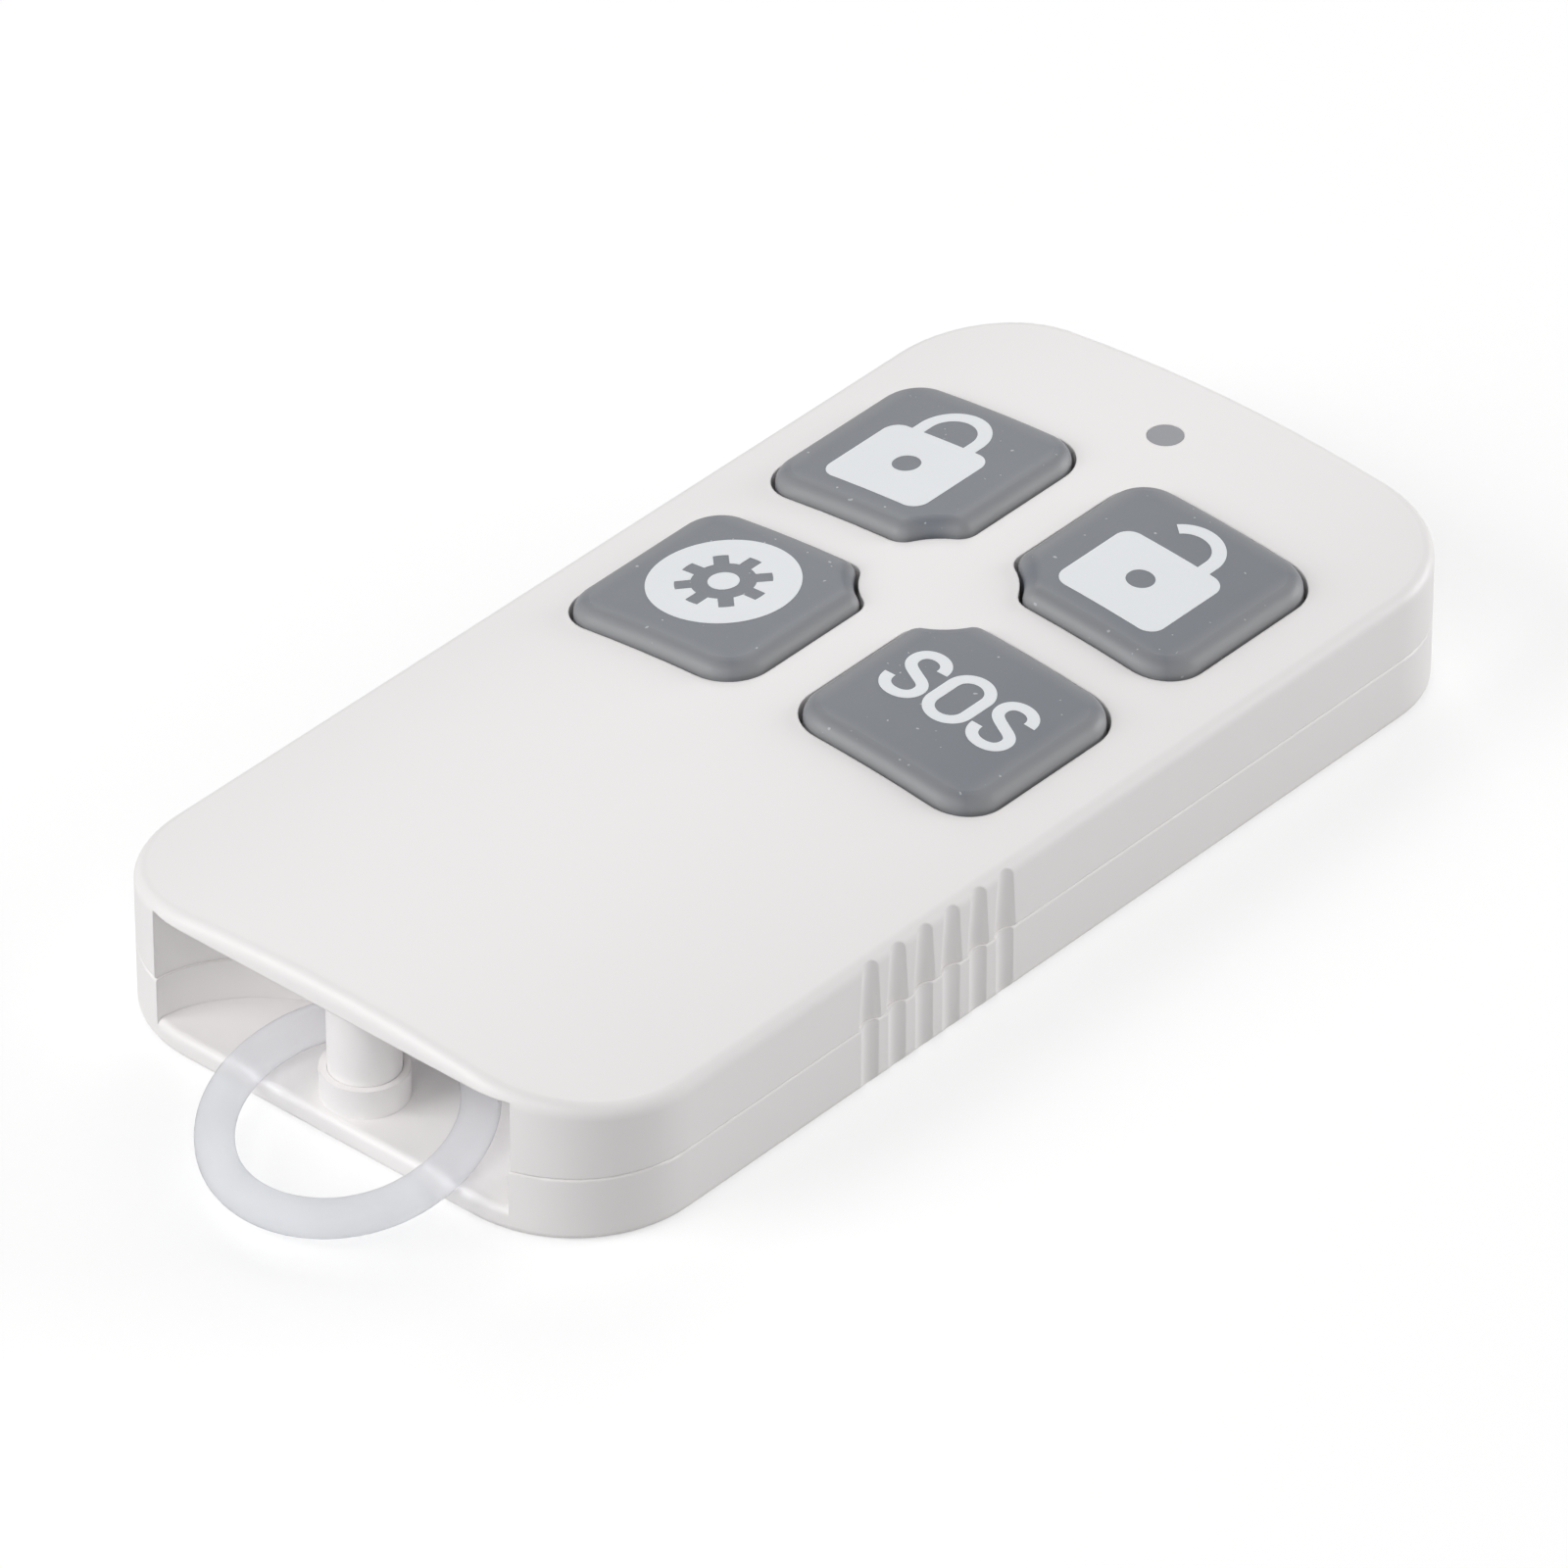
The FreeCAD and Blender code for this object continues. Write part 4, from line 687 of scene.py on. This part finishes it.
def cross_depth(x, y):
    """Depth of the cross recess: the deeper of two crossed bars, each width * reach * (1 - slope * along)."""
    def bar(along, across):
        width = smooth((CROSS_HALF_WIDTH - np.abs(across)) / CROSS_SOFT + 0.5)
        reach = smooth((CROSS_REACH - np.abs(along)) / CROSS_SOFT)
        return width * reach * (1 - CROSS_SLOPE * np.abs(along) / CROSS_REACH)
    return CROSS_DEPTH * np.maximum(bar(x, y), bar(y, x))


def turned(radius, turn, height):
    """Rings of points: x = radius cos(turn), y = radius sin(turn), z = height."""
    return np.stack(np.broadcast_arrays(radius * np.cos(turn), radius * np.sin(turn), height), axis=-1)


def screw(centre, low, top):
    """Rings from the middle of the head's face out over the rim, in under the head and up the shank.

    Face: height = dome (r / R) ^ 4 + cross depth. Shank: radius = core + (crest - core) ridge, where the
    ridge follows height / pitch - turn / full turn, so that it winds up the shank as one helix.
    """
    length = top - low
    turn = np.linspace(0, 2 * math.pi, SCREW_COLUMNS, endpoint=False)[None]
    flat_radius = SCREW_HEAD_RADIUS - SCREW_RIM
    out = np.linspace(FACE_START, 1, FACE_RINGS)[:, None] * flat_radius
    dome = SCREW_DOME * (out / SCREW_HEAD_RADIUS) ** 4
    face = turned(out, turn, dome + cross_depth(out * np.cos(turn), out * np.sin(turn)))
    bend = np.linspace(0, math.pi / 2, RIM_RINGS)[1:, None]
    edge = turned(flat_radius + SCREW_RIM * np.sin(bend), turn, dome[-1] + SCREW_RIM * (1 - np.cos(bend)))
    under_out = np.array([SCREW_HEAD_RADIUS, SCREW_HEAD_RADIUS, NECK_RADIUS])[:, None]
    under_height = np.array([SCREW_HEAD_HEIGHT - HEEL_HEIGHT, SCREW_HEAD_HEIGHT, SCREW_HEAD_HEIGHT])[:, None]
    under = turned(under_out, turn, under_height)
    height = np.linspace(SCREW_HEAD_HEIGHT + SHANK_START, length - POINT_TIP, SHANK_RINGS)[:, None]
    ridge = ((1 + np.cos(2 * math.pi * (height / THREAD_PITCH) - turn)) / 2) ** 2
    start = smooth((height - SCREW_HEAD_HEIGHT) / THREAD_PITCH)
    finish = smooth((length - height) / THREAD_TAPER)
    core = POINT_RADIUS + (THREAD_CORE - POINT_RADIUS) * np.sqrt(finish)
    shank = turned(core + (THREAD_RADIUS - THREAD_CORE) * ridge * start * finish, turn, height)
    rings = np.concatenate([face, edge, under, shank])
    place = np.array([*centre, low])
    return closed_tube(rings + place, place + (0, 0, CROSS_DEPTH), place + (0, 0, length))


screw_low, screw_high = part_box("case_screws")
far_x = screw_high.x / MM - SCREW_HEAD_RADIUS
far_y = screw_high.y / MM - SCREW_HEAD_RADIUS
near_y = screw_low.y / MM + SCREW_HEAD_RADIUS
SCREW_CENTRES = {
    "screw_near": (0.0, near_y),
    "screw_left": (-far_x, far_y),
    "screw_right": (far_x, far_y),
}
for name, centre in SCREW_CENTRES.items():
    points, faces = screw(centre, screw_low.z / MM, screw_high.z / MM)
    shown_screw = piece(name, points * MM, faces, FINISHES["screw_steel"], "case")
    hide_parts("case_screws")


# Floor and surroundings: pure white to the camera, soft light on the object

WHITE = (1.0, 1.0, 1.0, 1.0)
FLOOR_GREY = (0.6, 0.6, 0.6, 1.0)
FLOOR_HALF = 1.5
FLOOR_GAP = 0.03 * MM
FLOOR_GLOW = {"lit": 0.0, "bent": 0.3, "seen": 0.53}
SKY_GLOW = {"lit": 0.24, "bent": 0.65, "seen": 1.0}


def glow(tree, lit, bent, seen):
    """A strength by the ray: it lights dull surfaces, was bent by a mirror or clear piece, or is seen."""
    ray = add_node(tree, "LightPath", {})
    was_bent = larger(tree, ray["Is Glossy Ray"], ray["Is Transmission Ray"])
    unseen = add_node(tree, "Mix", {"Factor": was_bent, "A": lit, "B": bent})["Result"]
    return add_node(tree, "Mix", {"Factor": ray["Is Camera Ray"], "A": unseen, "B": seen})["Result"]


floor_finish = bpy.data.materials.new("floor_white")
floor_finish.use_nodes = True
floor_tree = floor_finish.node_tree
fill(floor_tree, floor_tree.nodes["Principled BSDF"], {
    "Base Color": FLOOR_GREY,
    "Roughness": 1.0,
    "Specular IOR Level": 0.0,
    "Emission Color": WHITE,
    "Emission Strength": glow(floor_tree, **FLOOR_GLOW),
})
floor_mesh = bpy.data.meshes.new("floor")
floor_sides = ((-1, -1), (1, -1), (1, 1), (-1, 1))
floor_corners = [(x * FLOOR_HALF, y * FLOOR_HALF, -FLOOR_GAP) for x, y in floor_sides]
floor_mesh.from_pydata(floor_corners, [], [(0, 1, 2, 3)])
floor_mesh.materials.append(floor_finish)
floor = bpy.data.objects.new("floor", floor_mesh)
bpy.context.scene.collection.objects.link(floor)

world = bpy.data.worlds.new("studio")
bpy.context.scene.world = world
world.use_nodes = True
sky_tree = world.node_tree
fill(sky_tree, sky_tree.nodes["Background"], {"Color": WHITE, "Strength": glow(sky_tree, **SKY_GLOW)})


# Light

def softbox(name, place, side, power):
    """A square area light that points at the middle of the case's back face."""
    data = bpy.data.lights.new(name, "AREA")
    data.size = side
    data.energy = power
    lamp = bpy.data.objects.new(name, data)
    lamp.location = place
    lamp.rotation_euler = (-Vector(place)).to_track_quat("-Z", "Y").to_euler()
    bpy.context.scene.collection.objects.link(lamp)


softbox("left_light", (-0.303, -0.525, 0.35), side=0.4, power=2.3)
softbox("back_light", (0.345, 0.597, 0.122), side=0.4, power=3.0)
softbox("front_light", (0.247, -0.429, 0.495), side=0.4, power=1.0)
softbox("sheen_light", (-0.30, 0.36, 0.33), side=0.3, power=0.6)


# Camera: it stands where the photograph was taken, by angles and a distance fitted to the case's outline

CAMERA_AZIMUTH = math.radians(41.39)
CAMERA_ELEVATION = math.radians(35.79)
CAMERA_DISTANCE = 764 * MM
CAMERA_RIGHT = -0.40 * MM
CAMERA_UP = -0.85 * MM
CAMERA_AIM = Vector((0, 0, 4.225 * MM))
CAMERA_LENS = 313.07
CAMERA_SENSOR = 36.0
CAMERA_CLIP = 0.01

back = Vector((
    math.sin(CAMERA_AZIMUTH) * math.cos(CAMERA_ELEVATION),
    -math.cos(CAMERA_AZIMUTH) * math.cos(CAMERA_ELEVATION),
    math.sin(CAMERA_ELEVATION),
))
right = Vector((math.cos(CAMERA_AZIMUTH), math.sin(CAMERA_AZIMUTH), 0.0))
upward = back.cross(right)
camera_data = bpy.data.cameras.new("camera")
camera_data.lens = CAMERA_LENS
camera_data.sensor_width = CAMERA_SENSOR
camera_data.clip_start = CAMERA_CLIP
camera = bpy.data.objects.new("camera", camera_data)
camera.location = CAMERA_AIM + back * CAMERA_DISTANCE + right * CAMERA_RIGHT + upward * CAMERA_UP
camera.rotation_euler = (-back).to_track_quat("-Z", "Y").to_euler()
bpy.context.scene.collection.objects.link(camera)
bpy.context.scene.camera = camera
bpy.context.scene.view_settings.view_transform = "Standard"
